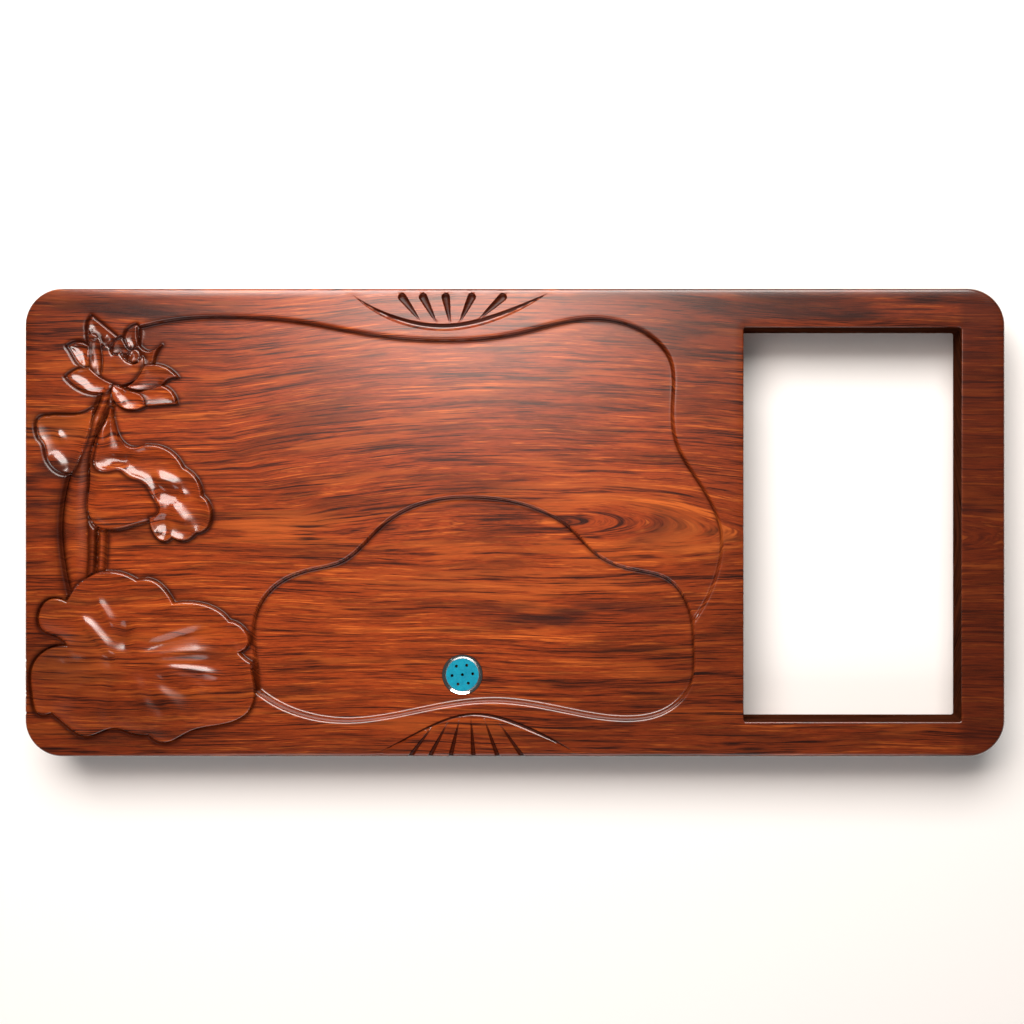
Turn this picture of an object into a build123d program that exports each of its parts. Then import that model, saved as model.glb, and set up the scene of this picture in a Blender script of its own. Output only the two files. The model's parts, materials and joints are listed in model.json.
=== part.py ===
from build123d import *
import math
import os

os.makedirs("parts", exist_ok=True)

# Tea tray carved from one slab. Millimetres, +X to the right, +Y to the rear, +Z up.
# The origin is under the middle of the slab, at the height of the feet's soles.

# Slab
board_length = 900
board_width = 430
board_thickness = 40
corner_radius = 34
top_round = 3
bottom_round = 2

# Stove cut-out and the wood left round it
opening_length = 200
front_rail = 32
opening_corner = 2
opening_round = 1.2
right_stile = 40
rear_rail = 36

# Carved levels below the rim, and the coves at their feet
basin_depth = 5
basin_cove = 3
pond_depth = 10
moat_depth = 3
fan_depth = 2.2
gouge_half_width = 3.8
ray_half_width = 2.3
ray_depth = 1.5
relief_root = 1
overrun = 3

# Drain
drain_x = -50
drain_y = -141
flange_radius = 18.5
flange_thickness = 4
flange_proud = 0.4
dish_radius = 18.1
seat_depth = 1.4
seat_wall = 1.3
funnel_wall = 1
strainer_radius = 15.5
strainer_thickness = 0.9
strainer_round = 0.25
film_thickness = 0.12
film_inset = 0.4
strainer_hole_radius = 1.4
strainer_ring_radius = 9.6
strainer_ring_holes = 6
strainer_ring_turn = 5
tube_radius = 9
tube_bore = 7
tube_below_pocket = 15.4
hole_clearance = 0.3
flange_recess_clearance = 0.4
gasket_thickness = 1
gasket_radius = 17.5
washer_radius = 16
washer_thickness = 1.6
nut_across_flats = 27
nut_height = 7
nut_chamfer = 0.8
thread_clearance = 0.05

# Outlet elbow and its seal
swivel_clearance = 0.05
elbow_gap = 1
elbow_wall = 3.6
elbow_round = 1
elbow_height = 18
barb_reach = 36
barb_root_radius = 4.2
barb_crest_radius = 5
barb_bore = 3
barb_count = 4
barb_neck_radius = 5.6
barb_neck_length = 3
ring_section = 0.9
ring_drop = 3.4

# Underside pocket and hose channel
pocket_radius = 46
pocket_depth = 16
channel_width = 20
channel_depth = 12

# Feet
foot_height = 14
foot_radius = 15
foot_sole_radius = 13
foot_round = 1.5
foot_inset_x = 20
foot_inset_y = 30
foot_middle_share = 0.056
foot_bore_radius = 6.5
foot_bore_depth = 9
washer_cup_radius = 6
washer_cup_thickness = 1
foot_screw_radius = 2.2
foot_screw_head_radius = 4.2
foot_screw_head_height = 2.6
foot_screw_length = 22
foot_screw_head_round = 0.8
screw_point = 4
screw_clearance = 0.05
screw_tip_radius = 0.4
recess_half_width = 0.7
recess_reach = 2.2
recess_depth = 1.2

# Battens let into the underside
batten_depth = 12
batten_mouth = 36
batten_flare = 4
batten_stop = 34
batten_clearance = 0.15
batten_setback = 1.5
batten_shares = [-0.39, -0.178, 0.156]
batten_screw_radius = 2
batten_screw_head_radius = 4
batten_screw_sink = 1
batten_screw_length = 26

# Steel bar in the narrow stile
bar_width = 16
bar_thickness = 4
bar_end_gap = 13
bar_clearance = 0.15
bar_corner = 3
bar_screw_pitch = 100
bar_screw_count = 3
bar_screw_radius = 2
bar_screw_head_radius = 4
bar_screw_length = 20

# Levels and places that follow from the sizes above
board_bottom = foot_height
board_top = foot_height + board_thickness
basin_floor = board_top - basin_depth
pond_floor = board_top - pond_depth
moat_floor = board_top - moat_depth
pocket_top = board_bottom + pocket_depth
field_length = board_length - right_stile - opening_length
opening_width = board_width - rear_rail - front_rail
opening_x = board_length / 2 - right_stile - opening_length / 2
opening_y = board_width / 2 - rear_rail - opening_width / 2
stile_x = board_length / 2 - right_stile / 2
drain_plane = Plane(origin=(drain_x, drain_y, 0), x_dir=(1, 0, 0), z_dir=(0, -1, 0))
drain_axis = Axis((drain_x, drain_y, 0), (0, 0, 1))

# Outlines as shares: u of the carved field's length from the left edge to the cut-out, and v of the
# board's width from the front edge. Each run is one smooth curve and starts where the last one ended.
basin_shares = [
    [(0.158, 0.918), (0.200, 0.932), (0.290, 0.940), (0.380, 0.930), (0.480, 0.903), (0.590, 0.890),
     (0.690, 0.907), (0.790, 0.937), (0.860, 0.910), (0.898, 0.850), (0.902, 0.765), (0.906, 0.676),
     (0.940, 0.583), (0.969, 0.480), (0.963, 0.390), (0.931, 0.290)],
    [(0.931, 0.290), (0.880, 0.200)],
    [(0.880, 0.200), (0.380, 0.200)],
    [(0.380, 0.200), (0.200, 0.240), (0.106, 0.360), (0.103, 0.520), (0.112, 0.640), (0.120, 0.740),
     (0.146, 0.830), (0.158, 0.918)],
]
pond_shares = [
    [(0.321, 0.140), (0.316, 0.220), (0.317, 0.300), (0.343, 0.362), (0.395, 0.399), (0.440, 0.418),
     (0.466, 0.450), (0.495, 0.495), (0.547, 0.540), (0.625, 0.555), (0.712, 0.529), (0.760, 0.485),
     (0.795, 0.432), (0.843, 0.400), (0.895, 0.378), (0.923, 0.319), (0.931, 0.220), (0.926, 0.152),
     (0.895, 0.099), (0.830, 0.079), (0.760, 0.094), (0.655, 0.118), (0.550, 0.098), (0.440, 0.075),
     (0.375, 0.093), (0.321, 0.140)],
]
pond_floor_share = 0.975
flower_ground_shares = [
    [(0.156, 0.924), (0.128, 0.912), (0.104, 0.944), (0.084, 0.942), (0.082, 0.900), (0.064, 0.893),
     (0.053, 0.876), (0.069, 0.846), (0.053, 0.812), (0.066, 0.783), (0.090, 0.768), (0.116, 0.768)],
    [(0.116, 0.768), (0.140, 0.770)],
    [(0.140, 0.770), (0.156, 0.924)],
]
stem_ground_shares = [
    [(0.112, 0.790), (0.091, 0.737), (0.079, 0.700), (0.0655, 0.641), (0.055, 0.587), (0.0465, 0.500),
     (0.0495, 0.420), (0.059, 0.345)],
    [(0.059, 0.345), (0.075, 0.350)],
    [(0.075, 0.350), (0.095, 0.420), (0.095, 0.587), (0.105, 0.680), (0.118, 0.780)],
    [(0.118, 0.780), (0.112, 0.790)],
]
big_leaf_ground_share = 1.03
left_leaf_ground_share = 1.09
big_leaf_shares = [
    [(0.098, 0.391), (0.125, 0.394), (0.155, 0.376)],
    [(0.155, 0.376), (0.180, 0.374), (0.197, 0.350), (0.206, 0.327)],
    [(0.206, 0.327), (0.245, 0.326), (0.270, 0.310), (0.284, 0.289)],
    [(0.284, 0.289), (0.301, 0.277), (0.311, 0.250), (0.297, 0.222)],
    [(0.297, 0.222), (0.306, 0.208), (0.314, 0.200)],
    [(0.314, 0.200), (0.317, 0.165), (0.319, 0.130), (0.311, 0.096), (0.280, 0.070), (0.228, 0.052),
     (0.198, 0.030), (0.172, 0.046)],
    [(0.172, 0.046), (0.148, 0.050), (0.125, 0.060), (0.085, 0.043), (0.058, 0.066), (0.037, 0.093)],
    [(0.037, 0.093), (0.018, 0.092), (0.010, 0.130), (0.014, 0.205), (0.033, 0.230), (0.059, 0.237)],
    [(0.059, 0.237), (0.046, 0.255), (0.022, 0.275), (0.022, 0.317), (0.058, 0.331)],
    [(0.058, 0.331), (0.075, 0.368), (0.098, 0.391)],
]
left_leaf_shares = [
    [(0.095, 0.745), (0.078, 0.731), (0.053, 0.729), (0.033, 0.727)],
    [(0.033, 0.727), (0.017, 0.714), (0.017, 0.695), (0.020, 0.680)],
    [(0.020, 0.680), (0.028, 0.660), (0.031, 0.638), (0.040, 0.617), (0.066, 0.606)],
    [(0.066, 0.606), (0.082, 0.660), (0.095, 0.745)],
]
folded_leaf_shares = [
    [(0.119, 0.745), (0.1245, 0.700), (0.136, 0.669), (0.165, 0.665)],
    [(0.165, 0.665), (0.198, 0.655), (0.2195, 0.617)],
    [(0.2195, 0.617), (0.236, 0.597), (0.245, 0.557)],
    [(0.245, 0.557), (0.257, 0.530), (0.252, 0.488), (0.237, 0.478)],
    [(0.237, 0.478), (0.222, 0.462), (0.2035, 0.4685)],
    [(0.2035, 0.4685), (0.190, 0.460), (0.177, 0.480), (0.1725, 0.502)],
    [(0.1725, 0.502), (0.150, 0.493), (0.118, 0.483), (0.098, 0.492)],
    [(0.098, 0.492), (0.086, 0.525), (0.088, 0.580), (0.090, 0.645), (0.104, 0.700), (0.119, 0.745)],
]
leaf_fold_shares = [
    [(0.119, 0.745), (0.1245, 0.700), (0.136, 0.669), (0.165, 0.665)],
    [(0.165, 0.665), (0.198, 0.655), (0.2195, 0.617)],
    [(0.2195, 0.617), (0.236, 0.597), (0.245, 0.557)],
    [(0.245, 0.557), (0.215, 0.548), (0.187, 0.527)],
    [(0.187, 0.527), (0.172, 0.579), (0.131, 0.612), (0.096, 0.630)],
    [(0.096, 0.630), (0.106, 0.690), (0.119, 0.745)],
]
main_stem_shares = [
    [(0.107, 0.785), (0.0965, 0.737), (0.084, 0.700), (0.0705, 0.641), (0.060, 0.587), (0.0515, 0.500),
     (0.0545, 0.420), (0.064, 0.345)],
    [(0.064, 0.345), (0.081, 0.362)],
    [(0.081, 0.362), (0.0865, 0.420), (0.086, 0.500), (0.0865, 0.587), (0.0895, 0.645), (0.099, 0.700),
     (0.1085, 0.737), (0.119, 0.780)],
    [(0.119, 0.780), (0.107, 0.785)],
]
second_stem_shares = [
    [(0.098, 0.385), (0.100, 0.440), (0.101, 0.500)],
    [(0.101, 0.500), (0.112, 0.497)],
    [(0.112, 0.497), (0.111, 0.440), (0.109, 0.385)],
    [(0.109, 0.385), (0.098, 0.385)],
]
petal_shares = [
    [[(0.0885, 0.905), (0.0885, 0.925), (0.0935, 0.939)], [(0.0935, 0.939), (0.1104, 0.918), (0.127, 0.897)],
     [(0.127, 0.897), (0.122, 0.884), (0.110, 0.876)], [(0.110, 0.876), (0.0885, 0.905)]],
    [[(0.125, 0.887), (0.1345, 0.8945)], [(0.1345, 0.8945), (0.139, 0.880), (0.1465, 0.866)],
     [(0.1465, 0.866), (0.132, 0.860), (0.120, 0.862)], [(0.120, 0.862), (0.122, 0.876), (0.125, 0.887)]],
    [[(0.1385, 0.893), (0.1445, 0.911), (0.1555, 0.9205)],
     [(0.1555, 0.9205), (0.155, 0.900), (0.1575, 0.880)],
     [(0.1575, 0.880), (0.152, 0.871), (0.1465, 0.866)], [(0.1465, 0.866), (0.1385, 0.893)]],
    [[(0.1575, 0.880), (0.1665, 0.867), (0.1885, 0.880)], [(0.1885, 0.880), (0.181, 0.862), (0.178, 0.840)],
     [(0.178, 0.840), (0.168, 0.836), (0.158, 0.838)], [(0.158, 0.838), (0.151, 0.862), (0.1575, 0.880)]],
    [[(0.1465, 0.866), (0.154, 0.869), (0.160, 0.855)], [(0.160, 0.855), (0.151, 0.840), (0.1435, 0.845)],
     [(0.1435, 0.845), (0.1465, 0.866)]],
    [[(0.0875, 0.902), (0.101, 0.897), (0.107, 0.872)], [(0.107, 0.872), (0.109, 0.840), (0.1065, 0.812)],
     [(0.1065, 0.812), (0.092, 0.826), (0.0885, 0.860), (0.0875, 0.902)]],
    [[(0.107, 0.872), (0.1125, 0.878), (0.1185, 0.872)], [(0.1185, 0.872), (0.122, 0.858), (0.132, 0.863)],
     [(0.132, 0.863), (0.141, 0.845), (0.150, 0.838)], [(0.150, 0.838), (0.158, 0.842), (0.163, 0.856)],
     [(0.163, 0.856), (0.166, 0.832), (0.152, 0.803), (0.132, 0.794), (0.1065, 0.812)],
     [(0.1065, 0.812), (0.109, 0.840), (0.107, 0.872)]],
    [[(0.060, 0.876), (0.0715, 0.884), (0.0885, 0.877)], [(0.0885, 0.877), (0.0895, 0.855), (0.0885, 0.833)],
     [(0.0885, 0.833), (0.077, 0.837), (0.068, 0.856), (0.060, 0.876)]],
    [[(0.058, 0.811), (0.073, 0.826), (0.090, 0.830)], [(0.090, 0.830), (0.100, 0.815), (0.122, 0.797)],
     [(0.122, 0.797), (0.119, 0.783), (0.100, 0.777), (0.084, 0.782), (0.058, 0.811)]],
    [[(0.166, 0.835), (0.186, 0.836), (0.211, 0.811)], [(0.211, 0.811), (0.198, 0.806), (0.190, 0.792)],
     [(0.190, 0.792), (0.165, 0.782), (0.140, 0.789)], [(0.140, 0.789), (0.156, 0.808), (0.166, 0.835)]],
    [[(0.190, 0.792), (0.203, 0.779), (0.2095, 0.754)], [(0.2095, 0.754), (0.190, 0.752), (0.166, 0.749)],
     [(0.166, 0.749), (0.164, 0.766), (0.155, 0.777)], [(0.155, 0.777), (0.170, 0.783), (0.190, 0.792)]],
    [[(0.124, 0.795), (0.121, 0.772), (0.129, 0.752), (0.147, 0.7415)],
     [(0.147, 0.7415), (0.157, 0.743), (0.166, 0.749)],
     [(0.166, 0.749), (0.164, 0.766), (0.155, 0.777)], [(0.155, 0.777), (0.141, 0.783), (0.124, 0.795)]],
]
petal_rise_shares = [0.62, 0.5, 0.7, 0.72, 0.6, 0.86, 0.98, 0.78, 0.9, 0.84, 0.76, 0.92]
petal_crown_share = 0.72
leaf_crown_share = 0.97
big_leaf_rise_share = 0.86
left_leaf_rise_share = 0.8
folded_leaf_rise_share = 0.55
leaf_fold_rise_share = 0.94
stem_rise_share = 0.9
stem_crown_share = 0.45
rear_arc_shares = [
    [(0.455, 0.988), (0.520, 0.940), (0.590, 0.925), (0.660, 0.949), (0.730, 0.991)],
    [(0.730, 0.991), (0.662, 0.934), (0.590, 0.909), (0.518, 0.926), (0.455, 0.988)],
]
front_arc_shares = [
    [(0.489, 0.008), (0.540, 0.049), (0.620, 0.094), (0.700, 0.066), (0.767, 0.009)],
    [(0.767, 0.009), (0.698, 0.052), (0.620, 0.083), (0.542, 0.041), (0.489, 0.008)],
]
rear_gouge_shares = [
    [(0.5255, 0.981), (0.550, 0.931)],
    [(0.5545, 0.981), (0.573, 0.926)],
    [(0.586, 0.981), (0.592, 0.924)],
    [(0.622, 0.981), (0.605, 0.926)],
    [(0.665, 0.981), (0.632, 0.934)],
]
front_ray_shares = [
    [(0.538, 0.014), (0.562, 0.055)],
    [(0.566, 0.014), (0.585, 0.062)],
    [(0.594, 0.014), (0.603, 0.066)],
    [(0.6245, 0.014), (0.622, 0.068)],
    [(0.656, 0.014), (0.643, 0.066)],
    [(0.690, 0.014), (0.664, 0.060)],
]


def field_point(u, v):
    return (u * field_length - board_length / 2, v * board_width - board_width / 2)


def outline_face(runs, level, share=1):
    """The face inside an outline of shares, drawn in to a share of its size about its own middle."""
    points = [field_point(*place) for run in runs for place in run[:-1]]
    middle_x = sum(x for x, y in points) / len(points)
    middle_y = sum(y for x, y in points) / len(points)
    with BuildSketch(Plane.XY.offset(level)) as face:
        with BuildLine():
            for run in runs:
                placed = [field_point(*place) for place in run]
                drawn = [
                    (middle_x + share * (x - middle_x), middle_y + share * (y - middle_y)) for x, y in placed
                ]
                if len(drawn) > 2:
                    Spline(*drawn)
                else:
                    Line(*drawn)
        make_face()
    return face.sketch


def hollow(runs, floor, cove):
    """The waste above a carved floor, rounded where the floor meets its longest wall."""
    face = outline_face(runs, floor)
    with BuildPart() as waste:
        add(face)
        extrude(amount=board_top - floor + overrun)
        fillet(waste.faces().sort_by(Axis.Z)[0].edges().sort_by(SortBy.LENGTH)[-1:], cove)
    return waste.part


def sloped_hollow(runs, floor, floor_share):
    """The waste above a carved floor whose wall leans outward to the outline at the rim."""
    depth = board_top - floor
    low = outline_face(runs, floor, floor_share)
    high = outline_face(runs, board_top + overrun, 1 + (1 - floor_share) * overrun / depth)
    with BuildPart() as waste:
        add(low)
        add(high)
        loft()
    return waste.part


def raised(runs, rise_share, crown_share):
    """A carved form, rooted in the basin's floor, that draws in towards its crown."""
    crown = basin_floor + rise_share * basin_depth
    low = outline_face(runs, basin_floor - relief_root)
    high = outline_face(runs, crown, crown_share)
    with BuildPart() as form:
        add(low)
        add(high)
        loft()
    return form.part


def stem(runs, rise_share, round_share):
    """A carved stem: a band with rounded shoulders."""
    height = rise_share * basin_depth
    face = outline_face(runs, basin_floor - relief_root)
    with BuildPart() as band:
        add(face)
        extrude(amount=height + relief_root)
        fillet(band.faces().sort_by(Axis.Z)[-1].edges().sort_by(SortBy.LENGTH)[-2:], round_share * height)
    return band.part


def sunk(runs, share=1):
    """The waste of the shallow ground that is sunk round a carved form."""
    face = outline_face(runs, moat_floor, share)
    with BuildPart() as waste:
        add(face)
        extrude(amount=moat_depth + overrun)
    return waste.part


def tapered_cut(start, end, half_width, depth):
    """The waste of a gouge cut: round at its start and narrowing to a point at its end."""
    (start_x, start_y), (end_x, end_y) = field_point(*start), field_point(*end)
    length = math.hypot(end_x - start_x, end_y - start_y)
    along = ((end_x - start_x) / length, (end_y - start_y) / length)
    left = (start_x - along[1] * half_width, start_y + along[0] * half_width)
    right = (start_x + along[1] * half_width, start_y - along[0] * half_width)
    back = (start_x - along[0] * half_width, start_y - along[1] * half_width)
    with BuildPart() as waste:
        with BuildSketch(Plane.XY.offset(board_top - depth)):
            with BuildLine():
                Line(left, (end_x, end_y))
                Line((end_x, end_y), right)
                ThreePointArc(right, back, left)
            make_face()
        extrude(amount=depth + overrun)
    return waste.part


# Feet stand at the corners and at the middle of each long side
foot_spots = {
    "foot_front_left": (foot_inset_x + foot_radius - board_length / 2, foot_inset_y - board_width / 2),
    "foot_front_middle": (foot_middle_share * board_length, foot_inset_y - board_width / 2),
    "foot_front_right": (stile_x, foot_inset_y - board_width / 2),
    "foot_rear_left": (foot_inset_x + foot_radius - board_length / 2, board_width / 2 - foot_inset_y),
    "foot_rear_middle": (foot_middle_share * board_length, board_width / 2 - foot_inset_y),
    "foot_rear_right": (stile_x, board_width / 2 - foot_inset_y),
}
batten_places = [share * board_length for share in batten_shares]
batten_length = board_width - batten_stop - batten_setback
batten_y = board_width / 2 - batten_setback - batten_length / 2
bar_length = board_width - 2 * bar_end_gap
bar_spots = [
    (stile_x, (index - (bar_screw_count - 1) / 2) * bar_screw_pitch) for index in range(bar_screw_count)
]

basin_waste = hollow(basin_shares, basin_floor, basin_cove)
pond_waste = sloped_hollow(pond_shares, pond_floor, pond_floor_share)
petals = [raised(runs, rise, petal_crown_share) for runs, rise in zip(petal_shares, petal_rise_shares)]
leaves = [
    raised(big_leaf_shares, big_leaf_rise_share, leaf_crown_share),
    raised(left_leaf_shares, left_leaf_rise_share, leaf_crown_share),
    raised(folded_leaf_shares, folded_leaf_rise_share, leaf_crown_share),
    raised(leaf_fold_shares, leaf_fold_rise_share, leaf_crown_share),
]
stems = [
    stem(main_stem_shares, stem_rise_share, stem_crown_share),
    stem(second_stem_shares, stem_rise_share, stem_crown_share),
]
grounds = [
    sunk(flower_ground_shares),
    sunk(stem_ground_shares),
    sunk(big_leaf_shares, big_leaf_ground_share),
    sunk(left_leaf_shares, left_leaf_ground_share),
]
gouges = [tapered_cut(start, end, gouge_half_width, fan_depth) for start, end in rear_gouge_shares]
rays = [tapered_cut(start, end, ray_half_width, ray_depth) for start, end in front_ray_shares]

# Board
channel_length = board_width / 2 - drain_y + overrun
flange_seat = pond_floor + flange_proud - flange_thickness
gasket_seat = flange_seat - gasket_thickness
with BuildPart() as tray_board:
    with BuildSketch(Plane.XY.offset(board_bottom)):
        RectangleRounded(board_length, board_width, corner_radius)
    extrude(amount=board_thickness)
    fillet(tray_board.faces().sort_by(Axis.Z)[-1].edges(), top_round)
    fillet(tray_board.faces().sort_by(Axis.Z)[0].edges(), bottom_round)
    with BuildSketch(Plane.XY.offset(board_bottom)):
        with Locations((opening_x, opening_y)):
            RectangleRounded(opening_length, opening_width, opening_corner)
    extrude(amount=board_thickness, mode=Mode.SUBTRACT)
    fillet(tray_board.faces().sort_by(Axis.Z)[-1].inner_wires().edges(), opening_round)
    # Sunk ground round the relief
    for waste in grounds:
        add(waste, mode=Mode.SUBTRACT)
    add(basin_waste, mode=Mode.SUBTRACT)
    # Relief: stems first, then leaves and petals over them
    for form in stems + leaves + petals:
        add(form)
    add(pond_waste, mode=Mode.SUBTRACT)
    # Fan ornaments on the two long rails
    add(outline_face(rear_arc_shares, board_top - fan_depth))
    extrude(amount=fan_depth + overrun, mode=Mode.SUBTRACT)
    add(outline_face(front_arc_shares, board_top - fan_depth))
    extrude(amount=fan_depth + overrun, mode=Mode.SUBTRACT)
    for waste in gouges + rays:
        add(waste, mode=Mode.SUBTRACT)
    # Drain seat and bore
    with BuildSketch(drain_plane):
        with BuildLine():
            Polyline((0, pocket_top - overrun), (tube_radius + hole_clearance, pocket_top - overrun),
                     (tube_radius + hole_clearance, gasket_seat),
                     (flange_radius + flange_recess_clearance, gasket_seat),
                     (flange_radius + flange_recess_clearance, pond_floor + overrun),
                     (0, pond_floor + overrun), close=True)
        make_face()
    revolve(axis=drain_axis, mode=Mode.SUBTRACT)
    # Underside pocket for the nut and the elbow, and the hose channel to the rear edge
    with BuildSketch(Plane.XY.offset(board_bottom - overrun)):
        with Locations((drain_x, drain_y)):
            Circle(pocket_radius)
    extrude(amount=pocket_depth + overrun, mode=Mode.SUBTRACT)
    with BuildSketch(Plane.XY.offset(board_bottom - overrun)):
        with Locations((drain_x, drain_y + channel_length / 2)):
            Rectangle(channel_width, channel_length)
    extrude(amount=channel_depth + overrun, mode=Mode.SUBTRACT)
    # Dovetail slots, open at the rear edge
    with BuildSketch(Plane.XZ.offset(-board_width / 2 - overrun)):
        for place in batten_places:
            half_mouth = batten_mouth / 2 + batten_clearance
            half_back = half_mouth + batten_flare
            with BuildLine():
                Polyline((place - half_mouth, board_bottom - overrun),
                         (place + half_mouth, board_bottom - overrun),
                         (place + half_mouth, board_bottom),
                         (place + half_back, board_bottom + batten_depth + batten_clearance),
                         (place - half_back, board_bottom + batten_depth + batten_clearance),
                         (place - half_mouth, board_bottom), close=True)
            make_face()
    extrude(amount=batten_length + batten_setback + batten_clearance + overrun, mode=Mode.SUBTRACT)
    with Locations(*[(place, batten_y, board_bottom + batten_depth) for place in batten_places]):
        Cylinder(batten_screw_radius + screw_clearance,
                 2 * (batten_screw_length - batten_depth + batten_screw_sink + screw_clearance),
                 mode=Mode.SUBTRACT)
    # Seat of the steel bar, and pilot holes
    with BuildSketch(Plane.XY.offset(board_bottom - overrun)):
        with Locations((stile_x, 0)):
            RectangleRounded(bar_width + 2 * bar_clearance, bar_length + 2 * bar_clearance, bar_corner)
    extrude(amount=bar_thickness + overrun, mode=Mode.SUBTRACT)
    with Locations(*[(x, y, board_bottom) for x, y in bar_spots]):
        Cylinder(bar_screw_radius + screw_clearance, 2 * (bar_screw_length + screw_clearance),
                 mode=Mode.SUBTRACT)
    with Locations(*[(x, y, foot_bore_depth) for x, y in foot_spots.values()]):
        Cylinder(foot_screw_radius + screw_clearance,
                 2 * (foot_screw_length + washer_cup_thickness + screw_clearance), mode=Mode.SUBTRACT)
tray_board.part.label = "tray_board"
export_step(tray_board.part, "parts/tray_board.step")

# Drain: a dished flange on a tube, which the nut pulls down on its gasket
flange_top = flange_seat + flange_thickness
strainer_seat = flange_top - seat_depth
tube_end = pocket_top - tube_below_pocket
with BuildPart() as drain_body:
    with BuildSketch(drain_plane):
        with BuildLine():
            Polyline((tube_bore, tube_end), (tube_radius, tube_end), (tube_radius, flange_seat),
                     (flange_radius, flange_seat), (flange_radius, flange_top), (dish_radius, flange_top),
                     (strainer_radius + hole_clearance, strainer_seat),
                     (strainer_radius - seat_wall, strainer_seat), (tube_bore, flange_seat + funnel_wall),
                     close=True)
        make_face()
    revolve(axis=drain_axis)
drain_body.part.label = "drain_body"
export_step(drain_body.part, "parts/drain_body.step")

with BuildPart() as drain_gasket:
    with BuildSketch(Plane.XY.offset(gasket_seat)):
        with Locations((drain_x, drain_y)):
            Circle(gasket_radius)
            Circle(tube_radius + hole_clearance, mode=Mode.SUBTRACT)
    extrude(amount=gasket_thickness)
drain_gasket.part.label = "drain_gasket"
export_step(drain_gasket.part, "parts/drain_gasket.step")

with BuildPart() as drain_washer:
    with BuildSketch(Plane.XY.offset(pocket_top - washer_thickness)):
        with Locations((drain_x, drain_y)):
            Circle(washer_radius)
            Circle(tube_radius + hole_clearance, mode=Mode.SUBTRACT)
    extrude(amount=washer_thickness)
drain_washer.part.label = "drain_washer"
export_step(drain_washer.part, "parts/drain_washer.step")

nut_bottom = pocket_top - washer_thickness - nut_height
nut_corner_radius = nut_across_flats / math.sqrt(3)
with BuildPart() as drain_nut:
    with BuildSketch(Plane.XY.offset(nut_bottom)):
        with Locations((drain_x, drain_y)):
            RegularPolygon(nut_corner_radius, 6)
            Circle(tube_radius + thread_clearance, mode=Mode.SUBTRACT)
    extrude(amount=nut_height)
    chamfer(drain_nut.faces().sort_by(Axis.Z)[0].outer_wire().edges(), nut_chamfer)
drain_nut.part.label = "drain_nut"
export_step(drain_nut.part, "parts/drain_nut.step")

# Strainer: a loose disc with its protective film, which lifts out of the drain
strainer_top = strainer_seat + strainer_thickness
ring_spots = [(0, 0)] + [
    (strainer_ring_radius * math.cos(math.radians(strainer_ring_turn + index * 360 / strainer_ring_holes)),
     strainer_ring_radius * math.sin(math.radians(strainer_ring_turn + index * 360 / strainer_ring_holes)))
    for index in range(strainer_ring_holes)
]
hole_spots = [(drain_x + x, drain_y + y) for x, y in ring_spots]
with BuildPart() as strainer_plate:
    with BuildSketch(Plane.XY.offset(strainer_seat)):
        with Locations((drain_x, drain_y)):
            Circle(strainer_radius)
        with Locations(*hole_spots):
            Circle(strainer_hole_radius, mode=Mode.SUBTRACT)
    extrude(amount=strainer_thickness)
    fillet(strainer_plate.faces().sort_by(Axis.Z)[-1].outer_wire().edges(), strainer_round)
strainer_plate.part.label = "strainer_plate"
export_step(strainer_plate.part, "parts/strainer_plate.step")

with BuildPart() as strainer_film:
    with BuildSketch(Plane.XY.offset(strainer_top)):
        with Locations((drain_x, drain_y)):
            Circle(strainer_radius - film_inset)
        with Locations(*hole_spots):
            Circle(strainer_hole_radius, mode=Mode.SUBTRACT)
    extrude(amount=film_thickness)
strainer_film.part.label = "strainer_film"
export_step(strainer_film.part, "parts/strainer_film.step")

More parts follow.
